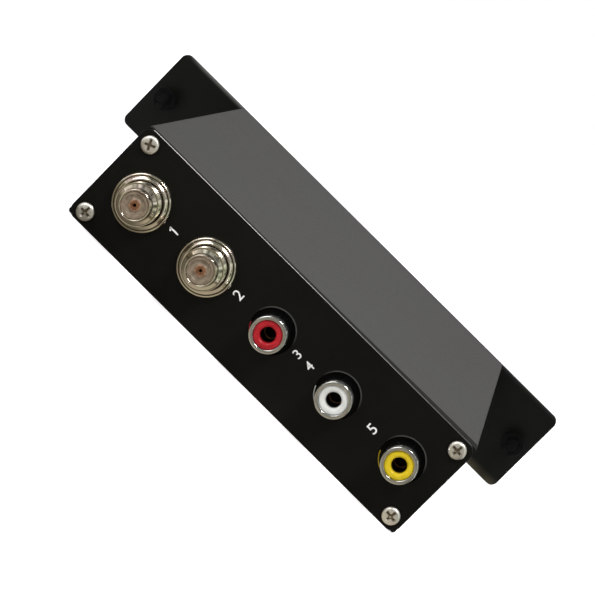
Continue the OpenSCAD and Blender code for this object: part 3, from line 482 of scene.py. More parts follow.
def rounded(points, steps=4):
    """A profile whose corners (radius, height, reach) are turned into arcs that begin reach away from them."""
    out = []
    for i, (r, h, reach) in enumerate(points):
        here = Vector((r, h))
        if not reach or i in (0, len(points) - 1):
            out.append((r, h))
            continue
        before = Vector(points[i - 1][:2]) - here
        after = Vector(points[i + 1][:2]) - here
        start = here + before.normalized() * min(reach, before.length / 2)
        end = here + after.normalized() * min(reach, after.length / 2)
        for k in range(steps + 1):
            t = k / steps
            out.append(tuple(start * (1 - t) ** 2 + here * 2 * t * (1 - t) + end * t * t))
    return out


def lathe(profile, steps=96):
    """Turns a profile of (radius, height) about +Z. A profile that ends off the axis is closed into a ring."""
    verts, faces = [], []
    count = len(profile)
    on_axis = profile[0][0] == 0 and profile[-1][0] == 0
    for i in range(steps):
        a = math.tau * i / steps
        verts += [(r * math.cos(a), r * math.sin(a), h) for r, h in profile]
    for i in range(steps):
        j = (i + 1) % steps
        for k in range(count - 1 if on_axis else count):
            n = (k + 1) % count
            faces.append((i * count + k, j * count + k, j * count + n, i * count + n))
    return verts, faces


THREAD_FORM = ((0, 0), (0.14, 0), (0.5, 1), (0.64, 1))  # place in a pitch, and share of the depth there


def screw_thread(radius, core_r, start, end, pitch, depth, steps):
    """A helical thread from start to end as a closed sleeve round core_r, fading out at both ends."""
    fade = pitch / 2
    turns = math.ceil((end - start) / pitch) + 1
    grid = [(k + share, sunk) for k in range(-1, turns) for share, sunk in THREAD_FORM]
    verts, faces = [], []
    for i in range(steps + 1):
        a = math.tau * i / steps
        for share, sunk in grid:
            h = min(max(start + (share + i / steps) * pitch, start), end)
            r = radius - sunk * depth * min(1, (h - start) / fade, (end - h) / fade)
            verts.append((r * math.cos(a), r * math.sin(a), h))
        for h in (end, start):
            verts.append((core_r * math.cos(a), core_r * math.sin(a), h))
    count = len(grid) + 2
    for i in range(steps):
        for k in range(count):
            n = (k + 1) % count
            faces.append((i * count + k, (i + 1) * count + k, (i + 1) * count + n, i * count + n))
    return verts, faces


def block(low, high, edge=0.15):
    """A box with chamfered edges between two corners."""
    mesh = bmesh.new()
    bmesh.ops.create_cube(mesh, size=1)
    size = Vector(high) - Vector(low)
    middle = (Vector(high) + Vector(low)) / 2
    for v in mesh.verts:
        v.co = Vector((v.co.x * size.x, v.co.y * size.y, v.co.z * size.z)) + middle
    bmesh.ops.bevel(mesh, geom=mesh.edges[:], offset=edge, segments=2, affect="EDGES", profile=0.5)
    verts = [tuple(v.co) for v in mesh.verts]
    faces = [tuple(v.index for v in f.verts) for f in mesh.faces]
    mesh.free()
    return verts, faces


def sector(outer_r, inner_r, middle_deg, spread_deg, height, base=0.0, steps=16):
    """Part of a ring, standing on base."""
    verts, faces = [], []
    for i in range(steps + 1):
        a = math.radians(middle_deg - spread_deg / 2 + spread_deg * i / steps)
        for r, h in ((outer_r, base), (outer_r, height), (inner_r, height), (inner_r, base)):
            verts.append((r * math.cos(a), r * math.sin(a), h))
    for i in range(steps):
        for k in range(4):
            n = (k + 1) % 4
            faces.append((i * 4 + k, i * 4 + 4 + k, i * 4 + 4 + n, i * 4 + n))
    faces += [(0, 1, 2, 3), tuple(steps * 4 + k for k in (3, 2, 1, 0))]
    return verts, faces


def facing(way, x, y, z=None):
    """Matrix that turns +Z of a lathed form to way * Y, with its base at x, y and the height of the jacks."""
    turn = Matrix.Rotation(math.radians(-90 * way), 4, "X")
    return Matrix.Translation((x, y, MID_Z if z is None else z)) @ turn


def merged(*forms):
    """Several (vertices, faces) or (vertices, faces, matrix) forms as one."""
    verts, faces = [], []
    for form in forms:
        base = len(verts)
        place = form[2] if len(form) > 2 else Matrix.Identity(4)
        verts += [tuple(place @ Vector(v)) for v in form[0]]
        faces += [tuple(base + i for i in f) for f in form[1]]
    return verts, faces


def clean_mesh(name, verts, faces):
    """A mesh in metres with doubled points welded and its faces turned outwards."""
    mesh = bpy.data.meshes.new(name)
    mesh.from_pydata([(x * MM, y * MM, z * MM) for x, y, z in verts], [], faces)
    work = bmesh.new()
    work.from_mesh(mesh)
    bmesh.ops.remove_doubles(work, verts=work.verts, dist=1e-4 * MM)
    bmesh.ops.dissolve_degenerate(work, edges=work.edges, dist=1e-4 * MM)
    bmesh.ops.recalc_face_normals(work, faces=work.faces)
    work.to_mesh(mesh)
    work.free()
    return mesh


def shade(mesh, angle_deg):
    for face in mesh.polygons:
        face.use_smooth = True
    mesh.set_sharp_from_angle(angle=math.radians(angle_deg))


def add_piece(name, mesh, slot, body="case", stands_for=(), ink=None, angle_deg=32):
    """Adds a piece that rides on a body, in the material of its slot or, if given, of its ink."""
    piece = bpy.data.objects.new(name, mesh)
    scene.collection.objects.link(piece)
    mesh.materials.clear()
    mesh.materials.append(MATERIALS[ink or slot])
    shade(mesh, angle_deg)
    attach(piece, body)
    if stands_for:
        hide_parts(*stands_for)


def add_form(name, form, slot, **options):
    add_piece(name, clean_mesh(name, *form), slot, **options)


def cut(name, solid, cutter):
    """solid with cutter taken out of it. All three are (vertices, faces) forms."""
    objects = []
    for label, form in ((name, solid), (name + "_cutter", cutter)):
        obj = bpy.data.objects.new(label, clean_mesh(label, *form))
        scene.collection.objects.link(obj)
        objects.append(obj)
    body, knife = objects
    boolean = body.modifiers.new("cut", "BOOLEAN")
    boolean.operation = "DIFFERENCE"
    boolean.solver = "EXACT"
    boolean.object = knife
    result = bpy.data.meshes.new_from_object(body.evaluated_get(bpy.context.evaluated_depsgraph_get()))
    for obj in objects:
        old = obj.data
        bpy.data.objects.remove(obj)
        bpy.data.meshes.remove(old)
    form = [tuple(v.co / MM) for v in result.vertices], [tuple(f.vertices) for f in result.polygons]
    bpy.data.meshes.remove(result)
    return form


# Cross-recessed screws in the corners of both end plates

SCREW_X = 46.8
SCREW_Z = 10.2
SCREW_TURNS = (-4, -8, 24, -6)
SCREW_HEAD_R = 2.1
SCREW_HEAD_H = 1.1
SCREW_SHANK_R = 1.25
SCREW_LEN = 9
SCREW_PITCH = 0.45
SCREW_THREAD_DEPTH = 0.22
CROSS_TOP = (0.3, 1.7, 0.36)  # height over the head, half length and half width of an arm
CROSS_BOTTOM = (-0.7, 1.0, 0.2)
PIT_R = 0.62
PIT_BOTTOM_R = 0.42
PIT_DEPTH = 1.0


def cross_recess(turn, top):
    """Tapered cross that a screwdriver leaves, as two arms and a round pit."""
    arms = []
    corners = ((-1, -1), (1, -1), (1, 1), (-1, 1))
    for side in (0, 90):
        verts = []
        for rise, half_len, half_w in (CROSS_TOP, CROSS_BOTTOM):
            verts += [(sx * half_len, sy * half_w, top + rise) for sx, sy in corners]
        faces = [(0, 3, 2, 1), (4, 5, 6, 7)] + [(k, (k + 1) % 4, 4 + (k + 1) % 4, 4 + k) for k in range(4)]
        arms.append(merged((verts, faces, Matrix.Rotation(math.radians(turn + side), 4, "Z"))))
    above = top + CROSS_TOP[0]
    pit = lathe([(0, top - PIT_DEPTH), (PIT_BOTTOM_R, top - PIT_DEPTH + 0.28), (PIT_R, above), (0, above)], 24)
    return (*arms, pit)


def corner_screw(name, way, x, z, turn, face_y):
    solid = lathe(rounded([
        (0, -0.02, 0), (SCREW_HEAD_R, -0.02, 0), (SCREW_HEAD_R, SCREW_HEAD_H * 0.45, 0.1),
        (SCREW_HEAD_R * 0.86, SCREW_HEAD_H * 0.86, 0.5), (SCREW_HEAD_R * 0.45, SCREW_HEAD_H, 0.5),
        (0, SCREW_HEAD_H, 0)], 5), 64)
    for step, cutter in enumerate(cross_recess(turn, SCREW_HEAD_H)):
        solid = cut(f"{name}_{step}", solid, cutter)
    root_r = SCREW_SHANK_R - 0.24
    thread = screw_thread(SCREW_SHANK_R, SCREW_SHANK_R - 0.35, -SCREW_LEN + 0.4, -PANEL_T, SCREW_PITCH,
                          SCREW_THREAD_DEPTH, 32)
    shank = lathe([(0, -SCREW_LEN), (root_r - 0.06, -SCREW_LEN), (root_r, -PANEL_T), (root_r, 0), (0, 0)], 32)
    return (*merged(solid, thread, shank), facing(way, x, face_y, MID_Z + z))


for name, way, face_y, slot in (("connector_panel_screws", BACK, PANEL_Y, "screw_nickel"),
                                ("faceplate_screws", FRONT, FACE_Y, "black_screw")):
    screws = [corner_screw(f"{name}_{i}", way, (i % 2 * 2 - 1) * SCREW_X, (i // 2 * 2 - 1) * SCREW_Z,
                           SCREW_TURNS[i], face_y) for i in range(4)]
    add_form("cross_" + name, merged(*screws), slot, stands_for=(name,), angle_deg=38)


# Threaded coaxial jacks

THREAD_PITCH = 0.794
THREAD_DEPTH = 0.36
NOSE_R = 3.5
LIP_W = 0.36
JACK_REACH = 10.5
INSULATOR_R = 2.9
INSULATOR_BORE_R = 0.87
SLEEVE_RECESS = 0.5
UNDERCUT = 0.35
NUT_R = 6.8
NUT_FLANGE = 0.85
NUT_GROOVE_DEPTH = 0.45
NUT_BORE_R = THREAD_R + 0.04
RUN_OUT = 1.0
BLOCK_W = 11
BLOCK_GAP = 0.5
BARREL_ROOT = 4

root_h = -PANEL_T - BARREL_ROOT
thread_start = NUT_TOP + RUN_OUT
core_r = THREAD_R - 0.42
sleeve_h = JACK_REACH - SLEEVE_RECESS
BARREL = rounded([
    (INSULATOR_R, root_h, 0), (THREAD_R, root_h, 0.1), (THREAD_R, NUT_TOP, 0.12),
    (THREAD_R - UNDERCUT, NUT_TOP + 0.1, 0.1), (THREAD_R - UNDERCUT, thread_start, 0.1),
    (core_r, thread_start + 0.2, 0), (core_r, THREAD_LEN - 0.25, 0), (THREAD_R - 0.25, THREAD_LEN - 0.1, 0.05),
    (THREAD_R - 0.3, THREAD_LEN, 0.08), (NOSE_R, THREAD_LEN + SHOULDER_LEN, 0.25), (NOSE_R, JACK_REACH, 0.2),
    (NOSE_R - LIP_W, JACK_REACH, 0.16), (NOSE_R - LIP_W - 0.06, JACK_REACH - 0.4, 0.05),
    (INSULATOR_R, sleeve_h, 0.05), (INSULATOR_R, -PANEL_T, 0)])
NUT = rounded([
    (NUT_BORE_R, 0.02, 0), (NUT_R, 0.02, 0.12), (NUT_R, NUT_T - NUT_FLANGE, 0.3),
    (NUT_R - 0.32, NUT_T - 0.1, 0.3),
    (NUT_GROOVE_R + 0.12, NUT_T, 0.1), (NUT_GROOVE_R + 0.06, NUT_T - NUT_GROOVE_DEPTH, 0.04),
    (NUT_GROOVE_R - 0.06, NUT_T - NUT_GROOVE_DEPTH, 0.04), (NUT_GROOVE_R - 0.1, NUT_T + 0.05, 0.12),
    (NUT_GROOVE_R - 0.7, NUT_TOP, 0.35), (THREAD_R + 0.25, NUT_TOP - 0.02, 0.12),
    (NUT_BORE_R, NUT_TOP - 0.5, 0)], 5)
CONTACT_MOUTH = rounded([
    (0.3, JACK_REACH - 1.6, 0), (1.15, JACK_REACH - 1.2, 0), (1.3, JACK_REACH - 0.5, 0.05),
    (1.18, JACK_REACH - 0.4, 0.1), (0.62, JACK_REACH - 0.6, 0.15), (0.3, JACK_REACH - 0.95, 0.1)])


def insulator_sleeve(back_h):
    """Profile of the insulator from its rear end to its dished front."""
    r, bore_r = INSULATOR_R - 0.02, INSULATOR_BORE_R
    return rounded([
        (bore_r, back_h, 0), (r, back_h, 0.1), (r, sleeve_h, 0.02), (NOSE_R - 0.44, JACK_REACH - 0.46, 0.05),
        (NOSE_R - 0.46, JACK_REACH - 0.3, 0.08), (INSULATOR_R - 0.5, JACK_REACH - 0.32, 0.1),
        (INSULATOR_R - 0.75, JACK_REACH - 0.62, 0.12), (bore_r + 0.75, JACK_REACH - 0.66, 0.15),
        (bore_r + 0.35, JACK_REACH - 0.42, 0.15), (bore_r, sleeve_h, 0)])


for jack, x in zip(("rf", "power"), COAX_X):
    out = facing(BACK, x, PANEL_Y)
    half = BLOCK_W / 2
    end_y = box_mm(f"{jack}_jack_barrel")[1].y
    thread = screw_thread(THREAD_R, THREAD_R - 0.45, thread_start, THREAD_LEN - 0.12, THREAD_PITCH,
                          THREAD_DEPTH, 96)
    blocks = merged(block((x - half, BACK_Y + BLOCK_GAP, MID_Z - half), (x + half, FOOT_Y, MID_Z + half)),
                    block((x - half, FOOT_Y, BOARD_TOP), (x + half, end_y, MID_Z + half)))
    add_form(f"{jack}_threaded_barrel", merged((*lathe(BARREL), out), (*thread, out), blocks), "warm_nickel",
             stands_for=(f"{jack}_jack_barrel",), angle_deg=40)
    add_form(f"{jack}_round_nut", merged((*lathe(NUT, 128), out)), "warm_nickel",
             stands_for=(f"{jack}_jack_nut",), angle_deg=40)
    sleeve = insulator_sleeve(PANEL_Y - box_mm(f"{jack}_jack_insulator")[1].y)
    add_form(f"{jack}_insulator_sleeve", merged((*lathe(sleeve, 72), out)), "insulator_beige",
             stands_for=(f"{jack}_jack_insulator",), angle_deg=40)
    add_form(f"{jack}_contact_mouth", merged((*lathe(CONTACT_MOUTH, 48), out)), "contact_copper",
             ink="jack_copper", angle_deg=40)


# Phono jacks

SHELL_BORE_R = 3.25
SHELL_ROOT_R = 3.75
SHELL_ROOT = 3
SHELL_TIP = SHELL_LEN + PANEL_T
SHOULDER = 1.3
TIP_GROOVE = (1.15, 1.3, 1.6, 1.75)  # edges and floor of the groove, back from the tip
TIP_GROOVE_DEPTH = 0.16
CORE_R = 3.2
CORE_TIP = SHELL_TIP - CORE_RECESS
CORE_ROOT = 5
FORK_DEPTH = 8
FORK_SEAT_R = 2
RIB_ANGLE = 222
RIB_SPREAD = 44
RIB_BASE = 0.08
RIB_R = PHONO_HOLE_R - 0.06
RIB_T = 0.18
RIB_RECESS = 0.35
HOUSING_W = 10.6

groove_r = SHELL_R - TIP_GROOVE_DEPTH
front_edge, front_floor, back_floor, back_edge = (SHELL_TIP - place for place in TIP_GROOVE)
SHELL = rounded([
    (SHELL_BORE_R, -SHELL_ROOT, 0), (SHELL_ROOT_R, -SHELL_ROOT, 0.1), (SHELL_ROOT_R, SHOULDER, 0.05),
    (SHELL_R, SHOULDER, 0.1), (SHELL_R, back_edge, 0.12), (groove_r, back_floor, 0.05),
    (groove_r, front_floor, 0.05), (SHELL_R, front_edge, 0.1), (SHELL_R, SHELL_TIP, 0.42),
    (SHELL_BORE_R, SHELL_TIP, 0.3), (SHELL_BORE_R, 0, 0)], 6)
CORE = rounded([
    (FORK_SEAT_R, -CORE_ROOT, 0), (CORE_R, -CORE_ROOT, 0), (CORE_R, CORE_TIP - 0.12, 0.12),
    (CORE_R - 0.5, CORE_TIP, 0.2), (SOCKET_R + 0.38, CORE_TIP - 0.06, 0.16), (SOCKET_R, CORE_TIP - 0.42, 0.12),
    (SOCKET_R, CORE_TIP - FORK_DEPTH, 0), (FORK_SEAT_R, CORE_TIP - FORK_DEPTH, 0)], 5)
seat_r = SHELL_ROOT_R + 0.05
SHELL_SEAT = lathe([(0, -SHELL_ROOT), (seat_r, -SHELL_ROOT), (seat_r, 0.5), (0, 0.5)], 48)

for tint, x in zip(("red", "white", "yellow"), PHONO_X):
    out = facing(BACK, x, BACK_Y)
    half = HOUSING_W / 2
    end_y = box_mm(f"{tint}_jack_housing")[1].y
    add_form(f"{tint}_metal_shell", merged((*lathe(SHELL, 112), out)), "bright_nickel",
             stands_for=(f"{tint}_jack_shell",), angle_deg=40)
    front = cut(f"{tint}_front", block((x - half, BACK_Y, MID_Z - half), (x + half, FOOT_Y, MID_Z + half)),
                merged((*SHELL_SEAT, out)))
    rib_foot = sector(RIB_R, SHELL_R + 0.05, RIB_ANGLE, RIB_SPREAD, RIB_BASE)
    rib = sector(RIB_R, RIB_R - RIB_T, RIB_ANGLE, RIB_SPREAD, PANEL_T - RIB_RECESS, RIB_BASE)
    rear = block((x - half, FOOT_Y, BOARD_TOP), (x + half, end_y, MID_Z + half))
    parts = (front, rear, (*lathe(CORE, 96), out), (*rib_foot, out), (*rib, out))
    add_form(f"{tint}_moulded_housing", merged(*parts), f"{tint}_plastic",
             stands_for=(f"{tint}_jack_housing",), angle_deg=40)


# Thumbscrews with a diamond knurl

THUMB_R = 1.5
THUMB_NECK_R = 1.1
THUMB_ROOT_R = 1.22
THUMB_PITCH = 0.5
THUMB_THREAD_DEPTH = 0.25
THUMB_HEAD_R = 4
THUMB_HEAD_LEN = 7
THUMB_REACH = 10
THUMB_SEAT = 0.2
SLOT_HALF_W = 0.6
SLOT_DEPTH = 1.4
DISH = 0.12
CLIP_BACK = 4.15
CLIP_LEN = 1.16
KNURL_COUNT = 30
KNURL_DEPTH = 0.32
KNURL_PITCH = 0.84
KNURL_MARGIN = 0.7
KNURL_FADE = 0.3
KNURL_ROWS = 46
STEPS_PER_DIAMOND = 8


def knurled_head():
    """Head with its base on Z = 0: a diamond knurl between two chamfers, and a dished end."""
    low, high = KNURL_MARGIN, THUMB_HEAD_LEN - KNURL_MARGIN
    steps = KNURL_COUNT * STEPS_PER_DIAMOND
    heights = [low + (high - low) * k / KNURL_ROWS for k in range(KNURL_ROWS + 1)]
    root_r = THUMB_HEAD_R - KNURL_DEPTH
    rim = [(0, 0), (THUMB_HEAD_R - 0.75, 0), (THUMB_HEAD_R - 0.6, 0.04), (root_r, low - 0.12)]
    cap = [(root_r, high + 0.12), (THUMB_HEAD_R - 0.6, THUMB_HEAD_LEN - 0.04),
           (THUMB_HEAD_R - 0.8, THUMB_HEAD_LEN), (THUMB_HEAD_R - 1.1, THUMB_HEAD_LEN - DISH),
           (0, THUMB_HEAD_LEN - DISH)]
    verts, faces = [], []
    for i in range(steps):
        a = math.tau * i / steps
        ring = list(rim)
        for h in heights:
            u = KNURL_COUNT * i / steps + h / KNURL_PITCH
            v = KNURL_COUNT * i / steps - h / KNURL_PITCH
            from_ridge = max(abs(u % 1 - 0.5), abs(v % 1 - 0.5)) * 2
            fade = min(1, (h - low) / KNURL_FADE, (high - h) / KNURL_FADE)
            ring.append((root_r + KNURL_DEPTH * (1 - from_ridge) * fade, h))
        ring += cap
        verts += [(r * math.cos(a), r * math.sin(a), h) for r, h in ring]
    count = len(rim) + len(heights) + len(cap)
    for i in range(steps):
        j = (i + 1) % steps
        for k in range(count - 1):
            faces.append((i * count + k, j * count + k, j * count + k + 1, i * count + k + 1))
    return verts, faces


slot_end = THUMB_HEAD_R + 1
SLOT_CUTTER = block((-slot_end, -SLOT_HALF_W, THUMB_HEAD_LEN - SLOT_DEPTH),
                    (slot_end, SLOT_HALF_W, THUMB_HEAD_LEN + 1), 0.05)
tip_h = -THUMB_SEAT - FACE_T - THUMB_REACH
clip_h = -THUMB_SEAT - FACE_T - CLIP_BACK
neck_h = clip_h - CLIP_LEN
SHANK = rounded([
    (0, 0.05, 0), (THUMB_R, 0.05, 0), (THUMB_R, clip_h, 0.1), (THUMB_NECK_R, clip_h, 0.05),
    (THUMB_NECK_R, neck_h, 0.05), (THUMB_ROOT_R, neck_h, 0.05), (THUMB_ROOT_R, tip_h + 0.5, 0.1),
    (THUMB_R - 0.5, tip_h, 0.2), (0, tip_h, 0)])

for side in ("left", "right"):
    out = facing(FRONT, centre_x(f"{side}_thumbscrew"), FACE_Y + THUMB_SEAT)
    head = cut(f"{side}_head", knurled_head(), SLOT_CUTTER)
    thread = screw_thread(THUMB_R, THUMB_R - 0.34, tip_h + 0.35, neck_h - 0.02, THUMB_PITCH,
                          THUMB_THREAD_DEPTH, 48)
    add_form(f"{side}_captive_screw", merged((*head, out), (*lathe(SHANK, 64), out), (*thread, out)),
             "black_screw", body=f"{side}_thumb", stands_for=(f"{side}_thumbscrew",), angle_deg=30)


# Indicator lamp: a domed lens with a flange, and its two leads

LAMP_R = 1.5
LAMP_REACH = 1.8
FLANGE_R = LAMP_R + 0.4
FLANGE_T = 1.0
LEAD_PITCH = 2.54
LEAD_HALF_W = 0.25

lead_y = box_mm("status_lamp")[0].y
lamp_x = centre_x("status_lamp")
flange_y = FRONT_Y - FLANGE_T - 0.05
dome_h = FACE_Y + LAMP_REACH - flange_y - LAMP_R
lens = [(0, 0), (FLANGE_R, 0), (FLANGE_R, FLANGE_T - 0.05), (FLANGE_R - 0.08, FLANGE_T), (LAMP_R, FLANGE_T),
        (LAMP_R, dome_h)]
for turn in range(8, 90, 8):
    a = math.radians(turn)
    lens.append((LAMP_R * math.cos(a), dome_h + LAMP_R * math.sin(a)))
lens.append((0, dome_h + LAMP_R))
leads = []
for side in (-1, 1):
    left = lamp_x + side * LEAD_PITCH / 2 - LEAD_HALF_W
    right, top = left + 2 * LEAD_HALF_W, MID_Z + LEAD_HALF_W
    leads.append(block((left, lead_y, MID_Z - LEAD_HALF_W), (right, flange_y + 0.1, top), 0.05))
    leads.append(block((left, lead_y, BOARD_TOP), (right, lead_y + 2 * LEAD_HALF_W, top), 0.05))
add_form("lamp_lens", merged((*lathe(lens, 64), facing(FRONT, lamp_x, flange_y)), *leads), "lamp_green",
         stands_for=("status_lamp",), angle_deg=40)


# CAD nodes whose shape is right: they keep their mesh and get eased edges and their finish

EASED = {
    "upper_case_shell": 0.22, "lower_case_shell": 0.22, "connector_panel": 0.28, "faceplate": 0.3,
    "jack_collars": 0.08, "lock_washers": 0.05, "lamp_spacer": 0.15,
    "left_retaining_clip": 0.08, "right_retaining_clip": 0.08, "main_board": 0.1, "shield_frame": 0.04,
    "shield_lid": 0.12, "voltage_regulator": 0.06, "power_inductor": 0.12, "chip_parts": 0.06,
    "saw_filter": 0.1, "quartz_crystal": 0.1, "rf_jack_contact": 0.04, "power_jack_contact": 0.04,
}
EASED.update({f"trimmer_body_{i}": 0.15 for i in (1, 2, 3)})
EASED.update({f"trimmer_rotor_{i}": 0.1 for i in (1, 2, 3)})
EASED.update({f"switch_lever_{i}": 0.12 for i in range(1, 9)})

record_slots = {s["node"]: s["material_slot"] for s in frame["record"]["subparts"]}
for name, node in nodes.items():
    node.data.materials.clear()
    node.data.materials.append(MATERIALS[record_slots[name]])
    weld = node.modifiers.new("joined_faces", "WELD")
    weld.merge_threshold = 1e-3 * MM
    if name in EASED:
        flats = node.modifiers.new("whole_flats", "DECIMATE")
        flats.decimate_type = "DISSOLVE"
        flats.angle_limit = math.radians(0.5)
        bevel = node.modifiers.new("eased_edges", "BEVEL")
        bevel.width = EASED[name] * MM
        bevel.segments = 3
        bevel.limit_method = "ANGLE"
        bevel.angle_limit = math.radians(40)
        bevel.use_clamp_overlap = True
        even = node.modifiers.new("even_shading", "WEIGHTED_NORMAL")
        even.keep_sharp = True


# Plain numbers and dial ticks

INK_T = 0.02
INK_SPREAD = 0.012
STROKE_W = 0.15  # of the 1, as shares of its height
FLAG_LEN = 0.3
FLAG_SLANT = 38
CAP_SHARE = 0.7  # height of a digit over the size of its font


def number(name, text, height, place, slot):
    """A printed number of that height, as a thin mesh in the plane that place turns to."""
    if text == "1":
        half_w, top = STROKE_W * height / 2, height / 2
        stem = block((-half_w, -top, -INK_T), (half_w, top, INK_T), 0.005)
        flag = block((-FLAG_LEN * height, -half_w, -INK_T), (0, half_w, INK_T), 0.005)
        slant = Matrix.Translation((0, top - half_w, 0)) @ Matrix.Rotation(math.radians(FLAG_SLANT), 4, "Z")
        one = merged(stem, (*flag, slant))
        add_form(name, merged((*one, place)), slot, ink="mark_ink", angle_deg=30)
        return
    curve = bpy.data.curves.new(name, "FONT")
    curve.body = text
    curve.size = height / CAP_SHARE * MM
    curve.extrude = INK_T * MM
    curve.offset = INK_SPREAD * MM
    curve.align_x = "CENTER"
    curve.align_y = "CENTER"
    label = bpy.data.objects.new(name + "_text", curve)
    scene.collection.objects.link(label)
    bpy.context.view_layer.update()
    mesh = bpy.data.meshes.new_from_object(label.evaluated_get(bpy.context.evaluated_depsgraph_get()))
    bpy.data.objects.remove(label)
    mesh.name = name
    metres = place.copy()
    metres.translation = place.translation * MM
    mesh.transform(metres)
    add_piece(name, mesh, slot, ink="mark_ink", angle_deg=30)


def plane_at(right, up, x, y, z):
    """Matrix that puts a drawing's X along right and its Y along up."""
    right, up = Vector(right), Vector(up)
    turn = Matrix((right, up, right.cross(up))).transposed().to_4x4()
    return Matrix.Translation((x, y, z)) @ turn


UPWARDS = ((0, 0, 1), (-1, 0, 0))
LEVEL_FRONT = ((-1, 0, 0), (0, 0, 1))
JACK_NUMBERS = (("1", -30.1, 13.5, 2.5), ("2", -10.3, 13.5, 2.5), ("3", 7.8, 13.4, 2.2), ("4", 11.5, 13.4, 2.2),
                ("5", 30.7, 13.4, 2.5))  # text, place along X and Z, height
LEVER_NUMBER_RISE = 5.2
LEVER_NUMBER_H = 1.5
TRIMMER_NUMBER_DROP = 6.6
TRIMMER_NUMBER_H = 1.8
TICK_R = (3.2, 4.1)
TICK_HALF_W = 0.12
TICK_STEP = 27
DIAL_HALF = 135

for text, x, z, height in JACK_NUMBERS:
    number(f"jack_number_{text}", text, height, plane_at(*UPWARDS, x, PANEL_Y, z), "panel_paint")

for i in range(1, 9):
    # Levers and trimmers are counted from the rear, their numbers are read from the front
    place = plane_at(*LEVEL_FRONT, centre_x(f"switch_lever_{9 - i}"), FACE_Y, MID_Z + LEVER_NUMBER_RISE)
    number(f"lever_number_{i}", str(i), LEVER_NUMBER_H, place, "faceplate_paint")
tick = block((-TICK_HALF_W, TICK_R[0], -INK_T), (TICK_HALF_W, TICK_R[1], INK_T), 0.005)
dial = merged(*((*tick, Matrix.Rotation(math.radians(turn), 4, "Z"))
                for turn in range(-DIAL_HALF, DIAL_HALF + 1, TICK_STEP)))
for i in (1, 2, 3):
    trim_x = centre_x(f"trimmer_rotor_{4 - i}")
    place = plane_at(*LEVEL_FRONT, trim_x, FACE_Y, MID_Z - TRIMMER_NUMBER_DROP)
    number(f"trimmer_number_{i}", str(i), TRIMMER_NUMBER_H, place, "faceplate_paint")
    ticks = merged((*dial, plane_at(*LEVEL_FRONT, trim_x, FACE_Y, MID_Z)))
    add_form(f"trimmer_ticks_{i}", ticks, "faceplate_paint", ink="mark_ink")


# Floor, light and camera

def seen_or_mirrored(tree):
    """1 for rays from the camera and for reflected or refracted ones, 0 for those that only light."""
    path = tree.nodes.new("ShaderNodeLightPath")
    mirrored = larger(tree, path.outputs["Is Glossy Ray"], path.outputs["Is Transmission Ray"])
    return larger(tree, path.outputs["Is Camera Ray"], mirrored)


def stage_material(name, tone, glow):
    """A pale matt surface that also glows where it is seen or mirrored, and keeps its shadows."""
    mat, tree, shader, _ = node_material(name)
    shader.inputs["Base Color"].default_value = (*tone, 1)
    shader.inputs["Roughness"].default_value = 0.9
    shader.inputs["Specular IOR Level"].default_value = 0
    shader.inputs["Emission Color"].default_value = (1, 1, 1, 1)
    tree.links.new(product(tree, seen_or_mirrored(tree), glow), shader.inputs["Emission Strength"])
    return mat


FLOOR_SIZE = 6  # metres
FLOOR_DROP_MM = 0.05
floor_mesh = bpy.data.meshes.new("floor")
half = FLOOR_SIZE / 2
corners = [(-half, -half, 0), (half, -half, 0), (half, half, 0), (-half, half, 0)]
floor_mesh.from_pydata(corners, [], [(0, 1, 2, 3)])
floor = bpy.data.objects.new("floor", floor_mesh)
floor.location.z = -FLOOR_DROP_MM * MM
scene.collection.objects.link(floor)
floor_mesh.materials.append(stage_material("floor_white", (0.82, 0.82, 0.82), 0.72))


def dark_card(name, centre, right, up, size, tones, patch_mm):
    """A board of the studio that is seen only as a reflection. Its place and size are in metres."""
    mat, tree, shader, coords = node_material(name)
    shader.inputs["Base Color"].default_value = (0, 0, 0, 1)
    shader.inputs["Roughness"].default_value = 1
    shader.inputs["Specular IOR Level"].default_value = 0
    patches = noise(tree, coords, patch_mm, 1)
    tone = mixed(tree, spread(tree, patches, 0, 1, 0.42, 0.58), *tones)
    tree.links.new(tone, shader.inputs["Emission Color"])
    shader.inputs["Emission Strength"].default_value = 1
    right, up = Vector(right) * size[0] / 2, Vector(up) * size[1] / 2
    mesh = bpy.data.meshes.new(name)
    mesh.from_pydata([-right - up, right - up, right + up, up - right], [], [(0, 1, 2, 3)])
    mesh.materials.append(mat)
    card = bpy.data.objects.new(name, mesh)
    card.location = centre
    card.visible_camera = card.visible_diffuse = card.visible_shadow = card.visible_transmission = False
    scene.collection.objects.link(card)


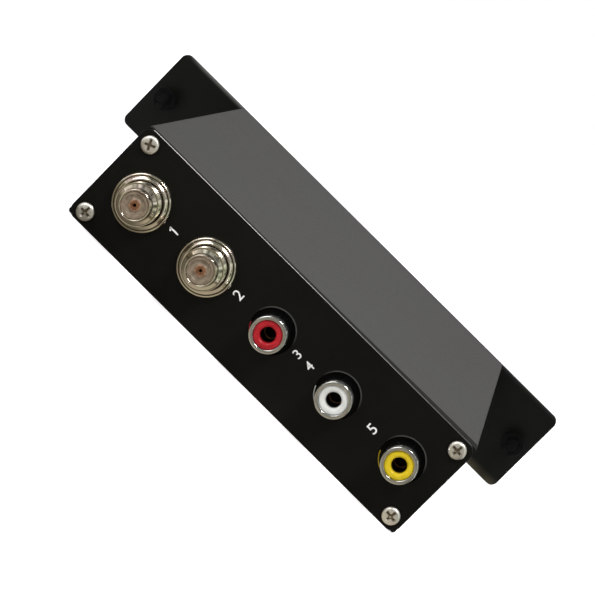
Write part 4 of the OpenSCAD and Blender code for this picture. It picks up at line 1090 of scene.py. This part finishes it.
X_AXIS, Y_AXIS, Z_AXIS = (1, 0, 0), (0, 1, 0), (0, 0, 1)
CARDS = (
    ("card_behind_camera", (0, -1.6, 0.8), X_AXIS, Z_AXIS, (2.4, 1.7),
     ((0.03, 0.03, 0.03), (0.4, 0.38, 0.34)), 420),
    ("card_in_front", (0, -0.78, -FLOOR_DROP_MM * MM / 2), X_AXIS, Y_AXIS, (1.5, 1.44),
     ((0.16, 0.14, 0.11), (0.5, 0.45, 0.36)), 90),
    ("card_beyond", (0, 1.5, 0.7), X_AXIS, Z_AXIS, (2.6, 1.6), ((0.22, 0.22, 0.21), (0.4, 0.4, 0.39)), 700),
    ("card_above", (0, -0.35, 1.4), X_AXIS, Y_AXIS, (2.2, 2.6), ((0.02, 0.02, 0.02), (0.5, 0.5, 0.48)), 500),
    ("card_left", (-1.4, -0.2, 0.7), Y_AXIS, Z_AXIS, (2, 1.3), ((0.25, 0.24, 0.24), (0.95, 0.85, 0.82)), 300),
    ("card_right", (1.4, -0.2, 0.7), Y_AXIS, Z_AXIS, (2, 1.3), ((0.04, 0.05, 0.03), (0.7, 0.74, 0.6)), 300),
)
for card in CARDS:
    dark_card(*card)


def area_light(name, at, aim, size, power):
    lamp = bpy.data.lights.new(name, "AREA")
    lamp.shape = "RECTANGLE"
    lamp.size, lamp.size_y = size
    lamp.energy = power
    obj = bpy.data.objects.new(name, lamp)
    obj.location = at
    obj.rotation_euler = (Vector(aim) - Vector(at)).to_track_quat("-Z", "Y").to_euler()
    scene.collection.objects.link(obj)


area_light("key", (0.06, -0.6, 0.95), (0, 0, 0.01), (0.24, 0.2), 6.5)
area_light("fill", (-0.7, -0.6, 0.5), (0, 0, 0.01), (0.5, 0.5), 3)
area_light("rim", (0.2, 0.9, 0.8), (0, 0.05, 0.02), (0.8, 0.4), 2)

WORLD_LIGHT = 0.45
world = bpy.data.worlds.new("studio")
world.use_nodes = True
scene.world = world
tree = world.node_tree
background = tree.nodes["Background"]
background.inputs["Color"].default_value = (1, 1, 1, 1)
tree.links.new(spread(tree, seen_or_mirrored(tree), WORLD_LIGHT, 1, 0, 1), background.inputs["Strength"])

# The camera of the photograph, in metres
CAMERA_AT = Vector((0.0063603, -0.6722606, 0.1074091))
CAMERA_FORWARD = Vector((-0.0110559, 0.9895921, -0.1434756))
CAMERA_UP = Vector((-0.7050904, 0.0940260, 0.7028561))
CAMERA_LENS = 164.993
SENSOR_WIDTH = 36

camera_data = bpy.data.cameras.new("camera")
camera_data.sensor_width = SENSOR_WIDTH
camera_data.lens = CAMERA_LENS
camera_data.clip_start = 0.01
camera = bpy.data.objects.new("camera", camera_data)
forward = CAMERA_FORWARD.normalized()
right = forward.cross(CAMERA_UP).normalized()
up = right.cross(forward)
camera.matrix_world = Matrix.Translation(CAMERA_AT) @ Matrix((right, up, -forward)).transposed().to_4x4()
scene.collection.objects.link(camera)
scene.camera = camera
scene.view_settings.view_transform = "Standard"
